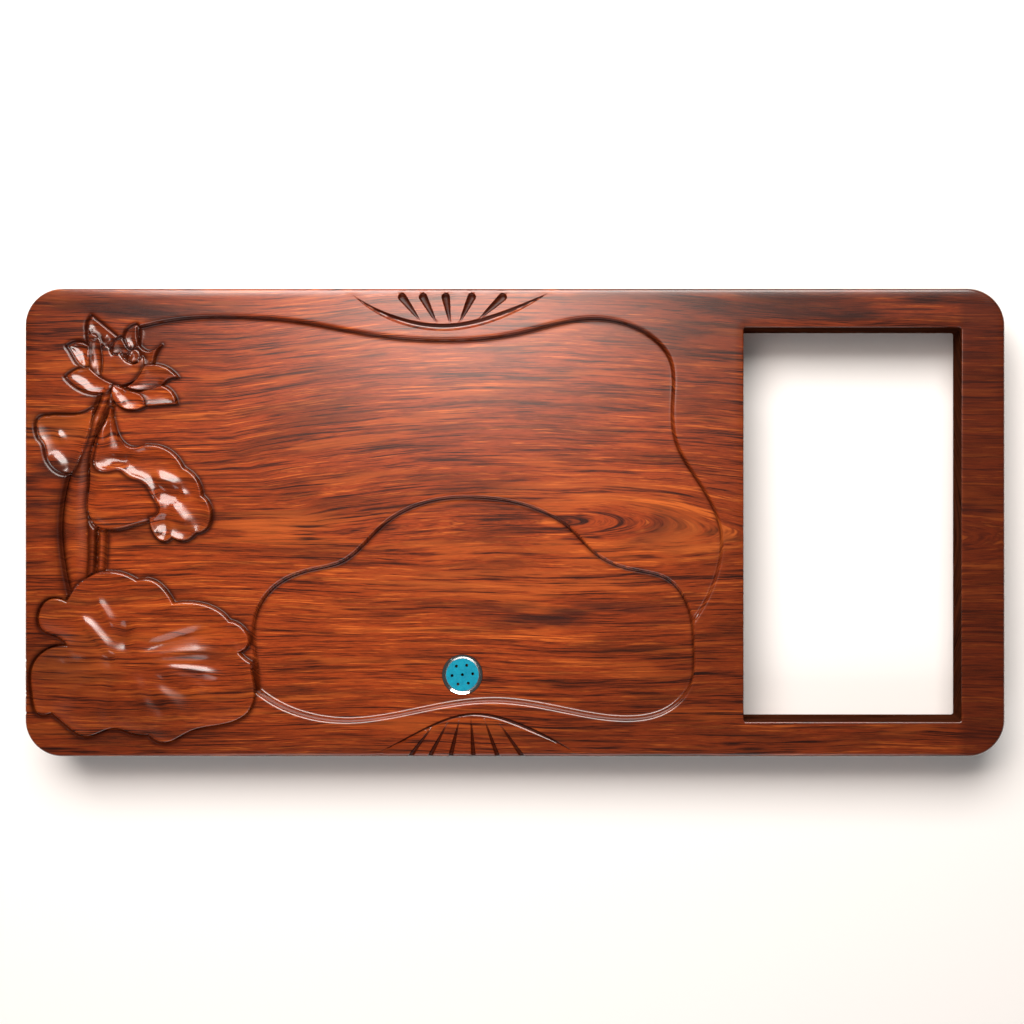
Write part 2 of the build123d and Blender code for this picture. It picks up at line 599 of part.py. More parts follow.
# Outlet elbow, which turns on the tube's end, and the ring that seals it
elbow_radius = tube_radius + swivel_clearance + elbow_wall
elbow_top = nut_bottom - elbow_gap
elbow_bottom = elbow_top - elbow_height
barb_z = elbow_bottom + barb_neck_radius + elbow_round
socket_floor = tube_end - hole_clearance
ring_z = elbow_top - ring_drop
barb_start = elbow_radius + barb_neck_length
with BuildPart() as outlet_elbow:
    with BuildSketch(Plane.XY.offset(elbow_bottom)):
        with Locations((drain_x, drain_y)):
            Circle(elbow_radius)
    extrude(amount=elbow_height)
    fillet(outlet_elbow.faces().sort_by(Axis.Z)[0].edges(), elbow_round)
    # Barbed tail along +Y
    with BuildSketch(Plane(origin=(drain_x, drain_y, barb_z), x_dir=(0, 1, 0), z_dir=(1, 0, 0))):
        with BuildLine():
            barb_length = (barb_reach - barb_start) / barb_count
            profile = [(0, 0), (0, barb_neck_radius)]
            profile += [(barb_start, barb_neck_radius), (barb_start, barb_root_radius)]
            for index in range(barb_count):
                crest = barb_start + index * barb_length + barb_length / 4
                profile += [(crest, barb_crest_radius), (crest + barb_length * 3 / 4, barb_root_radius)]
            profile += [(barb_reach, 0)]
            Polyline(*profile, close=True)
        make_face()
    revolve(axis=Axis((drain_x, drain_y, barb_z), (0, 1, 0)))
    # Socket for the tube, groove for the ring, and the waterway
    with BuildSketch(drain_plane):
        with BuildLine():
            groove = ring_section + swivel_clearance
            socket_radius = tube_radius + swivel_clearance
            Polyline((0, barb_z), (barb_bore, barb_z), (tube_bore, socket_floor),
                     (socket_radius, socket_floor), (socket_radius, ring_z - groove),
                     (socket_radius + 2 * groove, ring_z - groove),
                     (socket_radius + 2 * groove, ring_z + groove), (socket_radius, ring_z + groove),
                     (socket_radius, elbow_top + overrun), (0, elbow_top + overrun), close=True)
        make_face()
    revolve(axis=drain_axis, mode=Mode.SUBTRACT)
    with BuildSketch(Plane(origin=(drain_x, drain_y, barb_z), x_dir=(1, 0, 0), z_dir=(0, 1, 0))):
        Circle(barb_bore)
    extrude(amount=barb_reach + overrun, mode=Mode.SUBTRACT)
outlet_elbow.part.label = "outlet_elbow"
export_step(outlet_elbow.part, "parts/outlet_elbow.step")

with BuildPart() as elbow_ring:
    with BuildSketch(drain_plane):
        with Locations((tube_radius + 2 * swivel_clearance + ring_section, ring_z)):
            Circle(ring_section)
    revolve(axis=drain_axis)
elbow_ring.part.label = "elbow_ring"
export_step(elbow_ring.part, "parts/elbow_ring.step")

# Battens, all alike
batten_names = ["batten_left", "batten_middle", "batten_right"]
for name, place in zip(batten_names, batten_places):
    with BuildPart() as batten:
        with BuildSketch(Plane.XZ.offset(batten_setback - board_width / 2)):
            with BuildLine():
                Polyline((place - batten_mouth / 2, board_bottom), (place + batten_mouth / 2, board_bottom),
                         (place + batten_mouth / 2 + batten_flare, board_bottom + batten_depth),
                         (place - batten_mouth / 2 - batten_flare, board_bottom + batten_depth),
                         close=True)
            make_face()
        extrude(amount=batten_length)
        with Locations(Location((place, batten_y, board_bottom), (180, 0, 0))):
            CounterSinkHole(batten_screw_radius + screw_clearance,
                            batten_screw_head_radius + batten_screw_sink + screw_clearance, batten_depth, 90)
    batten.part.label = name
    export_step(batten.part, f"parts/{name}.step")


def flat_head_screw(radius, head_radius, length):
    """A countersunk screw, point up, with its head's face at the origin."""
    sink = head_radius - radius
    with BuildPart() as screw:
        with BuildSketch(Plane.XZ):
            with BuildLine():
                Polyline((0, 0), (head_radius, 0), (radius, sink), (radius, length - screw_point),
                         (screw_tip_radius, length), (0, length), close=True)
            make_face()
        revolve(axis=Axis.Z)
        with BuildSketch(Plane.XY):
            Rectangle(2 * recess_reach, 2 * recess_half_width)
            Rectangle(2 * recess_half_width, 2 * recess_reach)
        extrude(amount=recess_depth, mode=Mode.SUBTRACT)
    return screw.part


batten_screw = flat_head_screw(batten_screw_radius, batten_screw_head_radius, batten_screw_length)
with BuildPart() as batten_screws:
    with Locations(*[(place, batten_y, board_bottom + batten_screw_sink) for place in batten_places]):
        add(batten_screw)
batten_screws.part.label = "batten_screws"
export_step(batten_screws.part, "parts/batten_screws.step")

with BuildPart() as stile_bar:
    with BuildSketch(Plane.XY.offset(board_bottom)):
        with Locations((stile_x, 0)):
            RectangleRounded(bar_width, bar_length, bar_corner)
    extrude(amount=bar_thickness)
    with Locations(*[Location((x, y, board_bottom), (180, 0, 0)) for x, y in bar_spots]):
        CounterSinkHole(bar_screw_radius + screw_clearance, bar_screw_head_radius + screw_clearance,
                        bar_thickness, 90)
    with Locations((stile_x, foot_inset_y - board_width / 2, board_bottom),
                   (stile_x, board_width / 2 - foot_inset_y, board_bottom)):
        Cylinder(foot_screw_radius + hole_clearance, 2 * bar_thickness + overrun, mode=Mode.SUBTRACT)
stile_bar.part.label = "stile_bar"
export_step(stile_bar.part, "parts/stile_bar.step")

bar_screw = flat_head_screw(bar_screw_radius, bar_screw_head_radius, bar_screw_length)
with BuildPart() as stile_bar_screws:
    with Locations(*[(x, y, board_bottom) for x, y in bar_spots]):
        add(bar_screw)
stile_bar_screws.part.label = "stile_bar_screws"
export_step(stile_bar_screws.part, "parts/stile_bar_screws.step")

# Feet: a rubber cup held by a washer and a pan head screw
with BuildPart() as one_foot:
    with BuildSketch(Plane.XZ):
        with BuildLine():
            Polyline((foot_bore_radius, 0), (foot_sole_radius - foot_round, 0),
                     (foot_sole_radius, foot_round), (foot_radius, foot_height),
                     (foot_screw_radius + hole_clearance, foot_height),
                     (foot_screw_radius + hole_clearance, foot_bore_depth),
                     (foot_bore_radius, foot_bore_depth), close=True)
        make_face()
    revolve(axis=Axis.Z)
for name, (x, y) in foot_spots.items():
    with BuildPart() as foot:
        with Locations((x, y, 0)):
            add(one_foot.part)
    foot.part.label = name
    export_step(foot.part, f"parts/{name}.step")

with BuildPart() as foot_washers:
    with BuildSketch(Plane.XY.offset(foot_bore_depth - washer_cup_thickness)):
        with Locations(*foot_spots.values()):
            Circle(washer_cup_radius)
            Circle(foot_screw_radius + hole_clearance, mode=Mode.SUBTRACT)
    extrude(amount=washer_cup_thickness)
foot_washers.part.label = "foot_washers"
export_step(foot_washers.part, "parts/foot_washers.step")

with BuildPart() as foot_screw:
    with BuildSketch(Plane.XZ):
        with BuildLine():
            Polyline((0, -foot_screw_head_height),
                     (foot_screw_head_radius - foot_screw_head_round, -foot_screw_head_height),
                     (foot_screw_head_radius, foot_screw_head_round - foot_screw_head_height),
                     (foot_screw_head_radius, 0), (foot_screw_radius, 0),
                     (foot_screw_radius, foot_screw_length - screw_point),
                     (screw_tip_radius, foot_screw_length), (0, foot_screw_length), close=True)
        make_face()
    revolve(axis=Axis.Z)
    with BuildSketch(Plane.XY.offset(-foot_screw_head_height)):
        Rectangle(2 * recess_reach, 2 * recess_half_width)
        Rectangle(2 * recess_half_width, 2 * recess_reach)
    extrude(amount=recess_depth, mode=Mode.SUBTRACT)
with BuildPart() as foot_screws:
    with Locations(*[(x, y, foot_bore_depth - washer_cup_thickness) for x, y in foot_spots.values()]):
        add(foot_screw.part)
foot_screws.part.label = "foot_screws"
export_step(foot_screws.part, "parts/foot_screws.step")
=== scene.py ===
import json
import math

import bmesh
import bpy
import numpy as np
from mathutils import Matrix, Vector, kdtree
from mathutils.geometry import delaunay_2d_cdt


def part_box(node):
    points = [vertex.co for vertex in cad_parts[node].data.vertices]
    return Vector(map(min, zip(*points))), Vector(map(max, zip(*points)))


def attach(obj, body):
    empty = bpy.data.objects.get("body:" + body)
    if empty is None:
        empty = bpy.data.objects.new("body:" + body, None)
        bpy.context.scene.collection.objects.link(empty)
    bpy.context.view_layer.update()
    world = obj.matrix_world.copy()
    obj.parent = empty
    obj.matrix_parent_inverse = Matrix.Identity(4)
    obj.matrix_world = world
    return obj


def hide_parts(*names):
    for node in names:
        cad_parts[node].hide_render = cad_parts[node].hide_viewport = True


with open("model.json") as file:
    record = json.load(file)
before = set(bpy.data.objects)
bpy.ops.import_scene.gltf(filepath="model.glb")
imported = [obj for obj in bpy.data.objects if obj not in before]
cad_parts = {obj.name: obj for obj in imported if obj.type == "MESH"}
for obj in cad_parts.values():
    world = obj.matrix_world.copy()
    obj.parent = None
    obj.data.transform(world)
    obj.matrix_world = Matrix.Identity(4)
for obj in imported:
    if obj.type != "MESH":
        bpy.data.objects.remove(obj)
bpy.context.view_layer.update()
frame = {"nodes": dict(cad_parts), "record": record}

# The board is worked out in millimetres and put into the scene in metres
MM = 0.001


def box_of(node):
    """The low and the high corner of one of the frame's pieces, in millimetres."""
    return [[round(value / MM, 2) for value in corner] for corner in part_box(node)]


def middle_of(node, axis):
    """The middle of one of the frame's pieces along an axis, and half its length there."""
    low, high = [corner[axis] for corner in box_of(node)]
    return (low + high) / 2, (high - low) / 2


(_, _, BOTTOM), (_, _, TOP) = box_of("tray_board")
BOARD_LENGTH, BOARD_WIDTH = 2 * middle_of("tray_board", 0)[1], 2 * middle_of("tray_board", 1)[1]
# The carved field ends before the cut-out
FIELD_LENGTH = 660
CORNER, TOP_ROUND, BOTTOM_ROUND = 34, 3, 2
CUT_X, CUT_Y, CUT_LENGTH, CUT_WIDTH, CUT_CORNER, CUT_ROUND = 310, -2, 200, 362, 2, 1.2
RIM = (0, 0, BOARD_LENGTH, BOARD_WIDTH, CORNER)
CUT_OUT = (CUT_X, CUT_Y, CUT_LENGTH, CUT_WIDTH, CUT_CORNER)
BASIN_DEPTH, POND_DEPTH = 5, 10
LIP = COVE = 2.4
# Sunk ground beside the relief: its depth and reach
GROUND_DEPTH, GROUND_REACH = 2.3, 3.2
LEAF_GROUND_DEPTH, LEAF_GROUND_REACH = 2.8, 1.8
# A form's wall: how far its foot stands out, its run, and the foot's largest cove
FOOT_OUT, WALL_RUN, FOOT_COVE = 0.3, 0.45, 2.6
# Distances from outlines are worked out this far
REACH = 14
VEIN_HEIGHT, VEIN_SPREAD = 2.6, 1.9
# Fans: half width and depth of the cuts, and of the long arcs over them
GOUGE_HALF, GOUGE_DEPTH = 3.8, 2.2
RAY_HALF, RAY_DEPTH = 2.2, 1.6
REAR_ARC_HALF, FRONT_ARC_HALF, ARC_DEPTH = 3.4, 2.6, 2.2
# The mesh: rows nearer than the thinning merge, and the fill between them is fine only under the relief
THINNING = 0.22
FINE_PITCH, FINE_CLEAR, FINE_BOX = 2.3, 1.3, (-448, -200, -236, 195)
WIDE_PITCH, WIDE_CLEAR, WIDE_MARGIN = 8, 3.2, 4
RAY_SPAN = (-118, 26)
# Recesses for the pieces underneath, with a little play, cut past the board and past each other
OVERRUN, PLAY, SEAT_PLAY = 5, 0.15, 0.4
BELOW, BEHIND = BOTTOM - OVERRUN, BOARD_WIDTH / 2 + OVERRUN
DRAIN_X, drain_half = middle_of("drain_body", 0)
DRAIN_Y = middle_of("drain_body", 1)[0]
SEAT_RADIUS, SEAT_FLOOR = drain_half + SEAT_PLAY, box_of("drain_gasket")[0][2]
POCKET_RADIUS, POCKET_TOP = 46, box_of("drain_washer")[1][2]
BORE_RADIUS = 9.3
CHANNEL_HALF, CHANNEL_TOP = 10, 26
BATTENS, BATTEN_NECK = ("batten_left", "batten_middle", "batten_right"), 18
DOVETAIL_NECK, DOVETAIL_WIDE = BATTEN_NECK + PLAY, middle_of("batten_left", 0)[1] + PLAY
DOVETAIL_FRONT, DOVETAIL_TOP = box_of("batten_left")[0][1], box_of("batten_left")[1][2] + PLAY
BAR_X, bar_half = middle_of("stile_bar", 0)
BAR_WIDTH, BAR_LENGTH = 2 * (bar_half + PLAY), 2 * (middle_of("stile_bar", 1)[1] + PLAY)
BAR_CORNER, BAR_TOP = 3, box_of("stile_bar")[1][2]

# Carved outlines as shares of the field's length and the board's width; a run starts where the last one ended
BASIN = [
    [(0.200, 0.932), (0.290, 0.940), (0.380, 0.930), (0.480, 0.903), (0.590, 0.890), (0.690, 0.907),
     (0.790, 0.937), (0.860, 0.910), (0.898, 0.850), (0.902, 0.765), (0.906, 0.676), (0.940, 0.583),
     (0.969, 0.480), (0.963, 0.390), (0.931, 0.290)],
    [(0.880, 0.200)],
    [(0.380, 0.200)],
    [(0.200, 0.240), (0.106, 0.360), (0.103, 0.520), (0.112, 0.640), (0.120, 0.740), (0.146, 0.830),
     (0.158, 0.918)],
]
POND = [
    [(0.316, 0.220), (0.317, 0.300), (0.343, 0.362), (0.395, 0.399), (0.440, 0.418), (0.466, 0.450),
     (0.495, 0.495), (0.547, 0.540), (0.625, 0.555), (0.712, 0.529), (0.760, 0.485), (0.795, 0.432),
     (0.843, 0.400), (0.895, 0.378), (0.923, 0.319), (0.931, 0.220), (0.926, 0.152), (0.895, 0.099),
     (0.830, 0.079), (0.760, 0.094), (0.655, 0.118), (0.550, 0.098), (0.440, 0.075), (0.375, 0.093),
     (0.321, 0.140)],
]
BIG_LEAF = [
    [(0.125, 0.394), (0.155, 0.376)],
    [(0.180, 0.374), (0.197, 0.350), (0.206, 0.327)],
    [(0.245, 0.326), (0.270, 0.310), (0.284, 0.289)],
    [(0.301, 0.277), (0.311, 0.250), (0.297, 0.222)],
    [(0.306, 0.208), (0.314, 0.200)],
    [(0.317, 0.165), (0.319, 0.130), (0.311, 0.096), (0.280, 0.070), (0.228, 0.052), (0.198, 0.030),
     (0.172, 0.046)],
    [(0.148, 0.050), (0.125, 0.060), (0.085, 0.043), (0.058, 0.066), (0.037, 0.093)],
    [(0.018, 0.092), (0.010, 0.130), (0.014, 0.205), (0.033, 0.230), (0.059, 0.237)],
    [(0.046, 0.255), (0.022, 0.275), (0.022, 0.317), (0.058, 0.331)],
    [(0.075, 0.368), (0.098, 0.391)],
]
LEFT_LEAF = [
    [(0.078, 0.731), (0.053, 0.729), (0.033, 0.727)],
    [(0.017, 0.714), (0.017, 0.695), (0.020, 0.680)],
    [(0.028, 0.660), (0.031, 0.638), (0.040, 0.617), (0.066, 0.606)],
    [(0.082, 0.660), (0.095, 0.745)],
]
FOLDED_LEAF = [
    [(0.1245, 0.700), (0.136, 0.669), (0.165, 0.665)],
    [(0.198, 0.655), (0.2195, 0.617)],
    [(0.236, 0.597), (0.245, 0.557)],
    [(0.257, 0.530), (0.252, 0.488), (0.237, 0.478)],
    [(0.222, 0.462), (0.2035, 0.4685)],
    [(0.190, 0.460), (0.177, 0.480), (0.1725, 0.502)],
    [(0.150, 0.493), (0.118, 0.483), (0.098, 0.492)],
    [(0.086, 0.525), (0.088, 0.580), (0.090, 0.645), (0.104, 0.700), (0.119, 0.745)],
]
LEAF_FOLD = FOLDED_LEAF[:5] + [
    [(0.190, 0.460), (0.177, 0.480), (0.174, 0.510)],
    [(0.187, 0.527), (0.1785, 0.557), (0.1645, 0.587), (0.143, 0.6005), (0.131, 0.614), (0.115, 0.610),
     (0.102, 0.614), (0.096, 0.630)],
    [(0.106, 0.690), (0.119, 0.745)],
]
MAIN_STEM = [
    [(0.0965, 0.737), (0.084, 0.700), (0.0705, 0.641), (0.060, 0.587), (0.0515, 0.500), (0.0545, 0.420),
     (0.064, 0.345)],
    [(0.081, 0.362)],
    [(0.0865, 0.420), (0.086, 0.500), (0.0865, 0.587), (0.0895, 0.645), (0.099, 0.700), (0.1085, 0.737),
     (0.119, 0.780)],
    [(0.107, 0.785)],
]
SECOND_STEM = [
    [(0.100, 0.440), (0.101, 0.500)],
    [(0.112, 0.497)],
    [(0.111, 0.440), (0.109, 0.385)],
    [(0.098, 0.385)],
]
PETALS = [
    [[(0.0885, 0.925), (0.0935, 0.939)], [(0.1104, 0.918), (0.127, 0.897)], [(0.122, 0.884), (0.110, 0.876)],
     [(0.0885, 0.905)]],
    [[(0.1345, 0.8945)], [(0.139, 0.880), (0.1465, 0.866)], [(0.132, 0.860), (0.120, 0.862)],
     [(0.122, 0.876), (0.125, 0.887)]],
    [[(0.1445, 0.911), (0.1555, 0.9205)], [(0.155, 0.900), (0.1575, 0.880)],
     [(0.152, 0.871), (0.1465, 0.866)], [(0.1385, 0.893)]],
    [[(0.1665, 0.867), (0.1885, 0.880)], [(0.181, 0.862), (0.178, 0.840)], [(0.168, 0.836), (0.158, 0.838)],
     [(0.151, 0.862), (0.1575, 0.880)]],
    [[(0.154, 0.869), (0.160, 0.855)], [(0.151, 0.840), (0.1435, 0.845)], [(0.1465, 0.866)]],
    [[(0.101, 0.897), (0.107, 0.872)], [(0.109, 0.840), (0.1065, 0.812)],
     [(0.092, 0.826), (0.0885, 0.860), (0.0875, 0.902)]],
    [[(0.1125, 0.878), (0.1185, 0.872)], [(0.122, 0.858), (0.132, 0.863)], [(0.141, 0.845), (0.150, 0.838)],
     [(0.158, 0.842), (0.163, 0.856)], [(0.166, 0.832), (0.152, 0.803), (0.132, 0.794), (0.1065, 0.812)],
     [(0.109, 0.840), (0.107, 0.872)]],
    [[(0.0715, 0.884), (0.0885, 0.877)], [(0.0895, 0.855), (0.0885, 0.833)],
     [(0.077, 0.837), (0.068, 0.856), (0.060, 0.876)]],
    [[(0.073, 0.826), (0.090, 0.830)], [(0.100, 0.815), (0.122, 0.797)],
     [(0.119, 0.783), (0.100, 0.777), (0.084, 0.782), (0.058, 0.811)]],
    [[(0.186, 0.836), (0.211, 0.811)], [(0.198, 0.806), (0.190, 0.792)], [(0.165, 0.782), (0.140, 0.789)],
     [(0.156, 0.808), (0.166, 0.835)]],
    [[(0.203, 0.779), (0.2095, 0.754)], [(0.190, 0.752), (0.166, 0.749)], [(0.164, 0.766), (0.155, 0.777)],
     [(0.170, 0.783), (0.190, 0.792)]],
    [[(0.121, 0.772), (0.129, 0.752), (0.147, 0.7415)], [(0.157, 0.743), (0.166, 0.749)],
     [(0.164, 0.766), (0.155, 0.777)], [(0.141, 0.783), (0.124, 0.795)]],
]
REAR_ARC = [
    [(0.520, 0.940), (0.590, 0.925), (0.660, 0.949), (0.730, 0.991)],
    [(0.662, 0.934), (0.590, 0.909), (0.518, 0.926), (0.455, 0.988)],
]
FRONT_ARC = [
    [(0.540, 0.049), (0.620, 0.094), (0.700, 0.066), (0.767, 0.009)],
    [(0.698, 0.052), (0.620, 0.083), (0.542, 0.041), (0.489, 0.008)],
]
# Cuts of the two fans, from the wide end to the tip
REAR_GOUGES = [
    ((0.5255, 0.981), (0.550, 0.931)), ((0.5545, 0.981), (0.573, 0.926)), ((0.586, 0.981), (0.592, 0.924)),
    ((0.622, 0.981), (0.605, 0.926)), ((0.665, 0.981), (0.632, 0.934)),
]
FRONT_RAYS = [
    ((0.531, -0.01), (0.568, 0.066)), ((0.560, -0.01), (0.589, 0.074)), ((0.591, -0.01), (0.605, 0.080)),
    ((0.625, -0.01), (0.621, 0.084)), ((0.661, -0.01), (0.640, 0.078)), ((0.6975, -0.01), (0.660, 0.072)),
]

# Relief forms, each laid over the last: outline, edge's height, middle's scoop, its spread, edge's rounding
FORMS = [
    ("main_stem", MAIN_STEM, -3.0, -2.9, 5.5, 1.2),
    ("second_stem", SECOND_STEM, -2.9, -2.4, 2.6, 1.4),
    ("big_leaf", BIG_LEAF, -0.3, 2.4, 9.0, 2.2),
    ("left_leaf", LEFT_LEAF, -0.3, 2.4, 5.0, 2.0),
    ("folded_leaf", FOLDED_LEAF, -2.6, -2.3, 6.0, 2.0),
    ("leaf_fold", LEAF_FOLD, -0.2, 3.0, 4.5, 2.2),
]
PETAL_LEVELS = [-1.1, -1.6, -0.9, -0.8, -1.3, -0.2, -0.2, -0.6, -0.2, -0.5, -0.8, -0.2]
PETAL_SCOOPS = [1.6, 1.2, 1.6, 1.6, 1.2, 2.3, -0.2, 2.6, 2.4, 1.7, 1.6, 2.4]
FORMS += [
    ("petal_%02d" % i, runs, level, scoop, 3.2, 1.5)
    for i, (runs, level, scoop) in enumerate(zip(PETALS, PETAL_LEVELS, PETAL_SCOOPS))
]

# Ridges (above zero) and grooves (below zero) drawn over the forms: path, width in millimetres, strength
VEINS = [
    ([(0.066, 0.300), (0.087, 0.280), (0.103, 0.252), (0.117, 0.228), (0.128, 0.208)], 2.6, 1.3),
    ([(0.097, 0.343), (0.107, 0.318), (0.116, 0.294), (0.125, 0.272)], 2.2, 0.9),
    ([(0.168, 0.184), (0.200, 0.187), (0.240, 0.181), (0.282, 0.171)], 2.2, 1.0),
    ([(0.150, 0.208), (0.190, 0.217), (0.230, 0.221), (0.275, 0.224)], 3.0, 0.9),
    ([(0.137, 0.296), (0.139, 0.272), (0.136, 0.246), (0.130, 0.222)], 3.4, -1.0),
    ([(0.150, 0.228), (0.185, 0.240), (0.225, 0.258), (0.270, 0.272)], 2.8, -0.9),
    ([(0.112, 0.222), (0.116, 0.206), (0.126, 0.200)], 3.4, -0.6),
    ([(0.170, 0.166), (0.205, 0.150), (0.240, 0.118)], 3.4, -0.6),
    ([(0.160, 0.150), (0.180, 0.115), (0.200, 0.080)], 3.6, -0.6),
    ([(0.190, 0.172), (0.225, 0.158), (0.262, 0.132)], 2.8, 0.45),
    ([(0.170, 0.148), (0.198, 0.118), (0.227, 0.078)], 3.0, 0.4),
    ([(0.140, 0.180), (0.160, 0.140), (0.170, 0.100), (0.175, 0.070)], 3.4, 0.6),
    ([(0.110, 0.180), (0.085, 0.150), (0.060, 0.120), (0.045, 0.105)], 3.8, -0.5),
    ([(0.104, 0.205), (0.070, 0.195), (0.035, 0.188)], 3.8, -0.6),
    ([(0.125, 0.185), (0.118, 0.140), (0.112, 0.095), (0.108, 0.062)], 3.6, -0.5),
    # Left leaf
    ([(0.043, 0.697), (0.048, 0.685), (0.054, 0.672)], 1.6, 0.8),
    ([(0.036, 0.652), (0.045, 0.632), (0.058, 0.613)], 2.4, 1.0),
    # Folded leaf: its rolled fold, the cup under it, the horn and the blade's waves
    ([(0.093, 0.634), (0.101, 0.612), (0.115, 0.603), (0.131, 0.606), (0.145, 0.593), (0.163, 0.581),
      (0.171, 0.570), (0.179, 0.548), (0.186, 0.524)], 2.3, 1.5),
    ([(0.090, 0.578), (0.120, 0.579), (0.138, 0.571), (0.152, 0.563), (0.159, 0.546)], 2.4, 0.9),
    ([(0.088, 0.535), (0.094, 0.512), (0.103, 0.496), (0.129, 0.491), (0.150, 0.498), (0.170, 0.506)],
     2.2, 0.7),
    ([(0.104, 0.735), (0.106, 0.705), (0.108, 0.675), (0.112, 0.645)], 3.2, 0.8),
    ([(0.112, 0.745), (0.119, 0.712), (0.128, 0.680), (0.146, 0.655)], 4.0, -1.3),
    ([(0.110, 0.650), (0.124, 0.636), (0.140, 0.634), (0.154, 0.650)], 2.2, -1.1),
    ([(0.174, 0.600), (0.190, 0.592), (0.205, 0.584), (0.220, 0.578)], 2.6, 1.1),
    ([(0.178, 0.566), (0.200, 0.560), (0.222, 0.548)], 2.8, -0.9),
    ([(0.213, 0.568), (0.219, 0.561), (0.226, 0.552)], 1.8, 0.7),
    ([(0.201, 0.548), (0.210, 0.525), (0.220, 0.506), (0.234, 0.490)], 2.8, 1.0),
    ([(0.190, 0.520), (0.192, 0.500), (0.200, 0.484)], 2.6, -0.8),
    ([(0.184, 0.488), (0.188, 0.480), (0.190, 0.474)], 1.5, 0.6),
    # Petals
    ([(0.059, 0.876), (0.067, 0.862), (0.075, 0.845), (0.082, 0.834)], 1.7, 1.1),
    ([(0.058, 0.812), (0.070, 0.803), (0.080, 0.792), (0.090, 0.785)], 2.0, 1.1),
    ([(0.0895, 0.872), (0.0905, 0.850), (0.0945, 0.832), (0.102, 0.818)], 1.5, 0.9),
    ([(0.087, 0.900), (0.094, 0.898), (0.101, 0.892)], 1.5, 0.9),
    ([(0.127, 0.859), (0.132, 0.845), (0.140, 0.830)], 2.2, 0.9),
    ([(0.157, 0.853), (0.157, 0.842), (0.155, 0.828)], 1.7, 0.8),
    ([(0.1445, 0.866), (0.1450, 0.855), (0.1455, 0.843)], 1.1, 0.7),
    ([(0.124, 0.792), (0.127, 0.772), (0.134, 0.757), (0.142, 0.749)], 1.8, 1.0),
    ([(0.110, 0.788), (0.116, 0.787), (0.121, 0.788)], 1.5, 0.7),
    ([(0.089, 0.920), (0.091, 0.910), (0.092, 0.903)], 1.2, 0.6),
    ([(0.109, 0.902), (0.112, 0.893), (0.115, 0.886)], 1.3, 0.6),
    ([(0.141, 0.884), (0.144, 0.877), (0.147, 0.870)], 1.2, 0.7),
    ([(0.135, 0.788), (0.139, 0.785), (0.142, 0.780)], 1.6, 0.7),
]


def field_point(u, v):
    """A place on the board, in millimetres, from its shares of the carved field."""
    return (u * FIELD_LENGTH - BOARD_LENGTH / 2, v * BOARD_WIDTH - BOARD_WIDTH / 2)


def smooth(x):
    """A soft step from zero to one."""
    x = np.clip(x, 0, 1)
    return x * x * (3 - 2 * x)


def lengths(line):
    """The length of a line up to each of its points."""
    return np.concatenate([[0], np.cumsum(np.linalg.norm(np.diff(line, axis=0), axis=1))])


def curve(places, step):
    """Points about a step apart on the cubic through the places, with the step's direction at each."""
    p = np.array([field_point(*place) for place in places])
    if len(p) == 2:
        count = max(2, round(np.linalg.norm(p[1] - p[0]) / step))
        t = np.linspace(0, 1, count + 1)[:, None]
        along = np.repeat([(p[1] - p[0]) / np.linalg.norm(p[1] - p[0])], count + 1, 0)
        return p[0] + t * (p[1] - p[0]), along
    t = lengths(p)
    n, h, k = len(p), np.diff(t), min(3, len(p) - 1)
    ends = []
    for few, end in ((slice(0, k + 1), t[0]), (slice(n - k - 1, n), t[-1])):
        fits = [np.polyfit(t[few] - end, p[few, axis], k) for axis in (0, 1)]
        ends.append([np.polyval(np.polyder(fit), 0) for fit in fits])
    a, b = np.zeros((n, n)), np.zeros((n, 2))
    slope = np.diff(p, axis=0) / h[:, None]
    a[0, :2], b[0] = (2 * h[0], h[0]), 6 * (slope[0] - ends[0])
    a[-1, -2:], b[-1] = (h[-1], 2 * h[-1]), 6 * (np.array(ends[1]) - slope[-1])
    for i in range(1, n - 1):
        a[i, i - 1:i + 2], b[i] = (h[i - 1], 2 * (h[i - 1] + h[i]), h[i]), 6 * (slope[i] - slope[i - 1])
    m = np.linalg.solve(a, b)
    fine = np.linspace(0, t[-1], 24 * n)
    j = np.clip(np.searchsorted(t, fine) - 1, 0, n - 2)
    lo, hi, span = (fine - t[j])[:, None], (t[j + 1] - fine)[:, None], h[j][:, None]
    line = (m[j] * hi ** 3 + m[j + 1] * lo ** 3) / (6 * span)
    line += (p[j] / span - m[j] * span / 6) * hi + (p[j + 1] / span - m[j + 1] * span / 6) * lo
    length = lengths(line)

    def at(s):
        return np.stack([np.interp(s, length, line[:, axis]) for axis in (0, 1)], 1)

    s = np.linspace(0, length[-1], max(3, round(length[-1] / step)) + 1)
    along = at(s + 0.1) - at(s - 0.1)
    return at(s), along / np.linalg.norm(along, axis=1)[:, None]


def near_to(path, p, reach):
    """Which places lie within reach of a path's box."""
    return np.flatnonzero(np.all((p > path.min(0) - reach) & (p < path.max(0) + reach), 1))


def to_segments(p, a, b):
    """Distances of places from segments, and the share of the way along each of the nearest point."""
    to, ab = p[:, None] - a, b - a
    share = np.clip((to * ab).sum(2) / (ab ** 2).sum(1), 0, 1)
    return np.sqrt(((to - share[..., None] * ab) ** 2).sum(2)), share


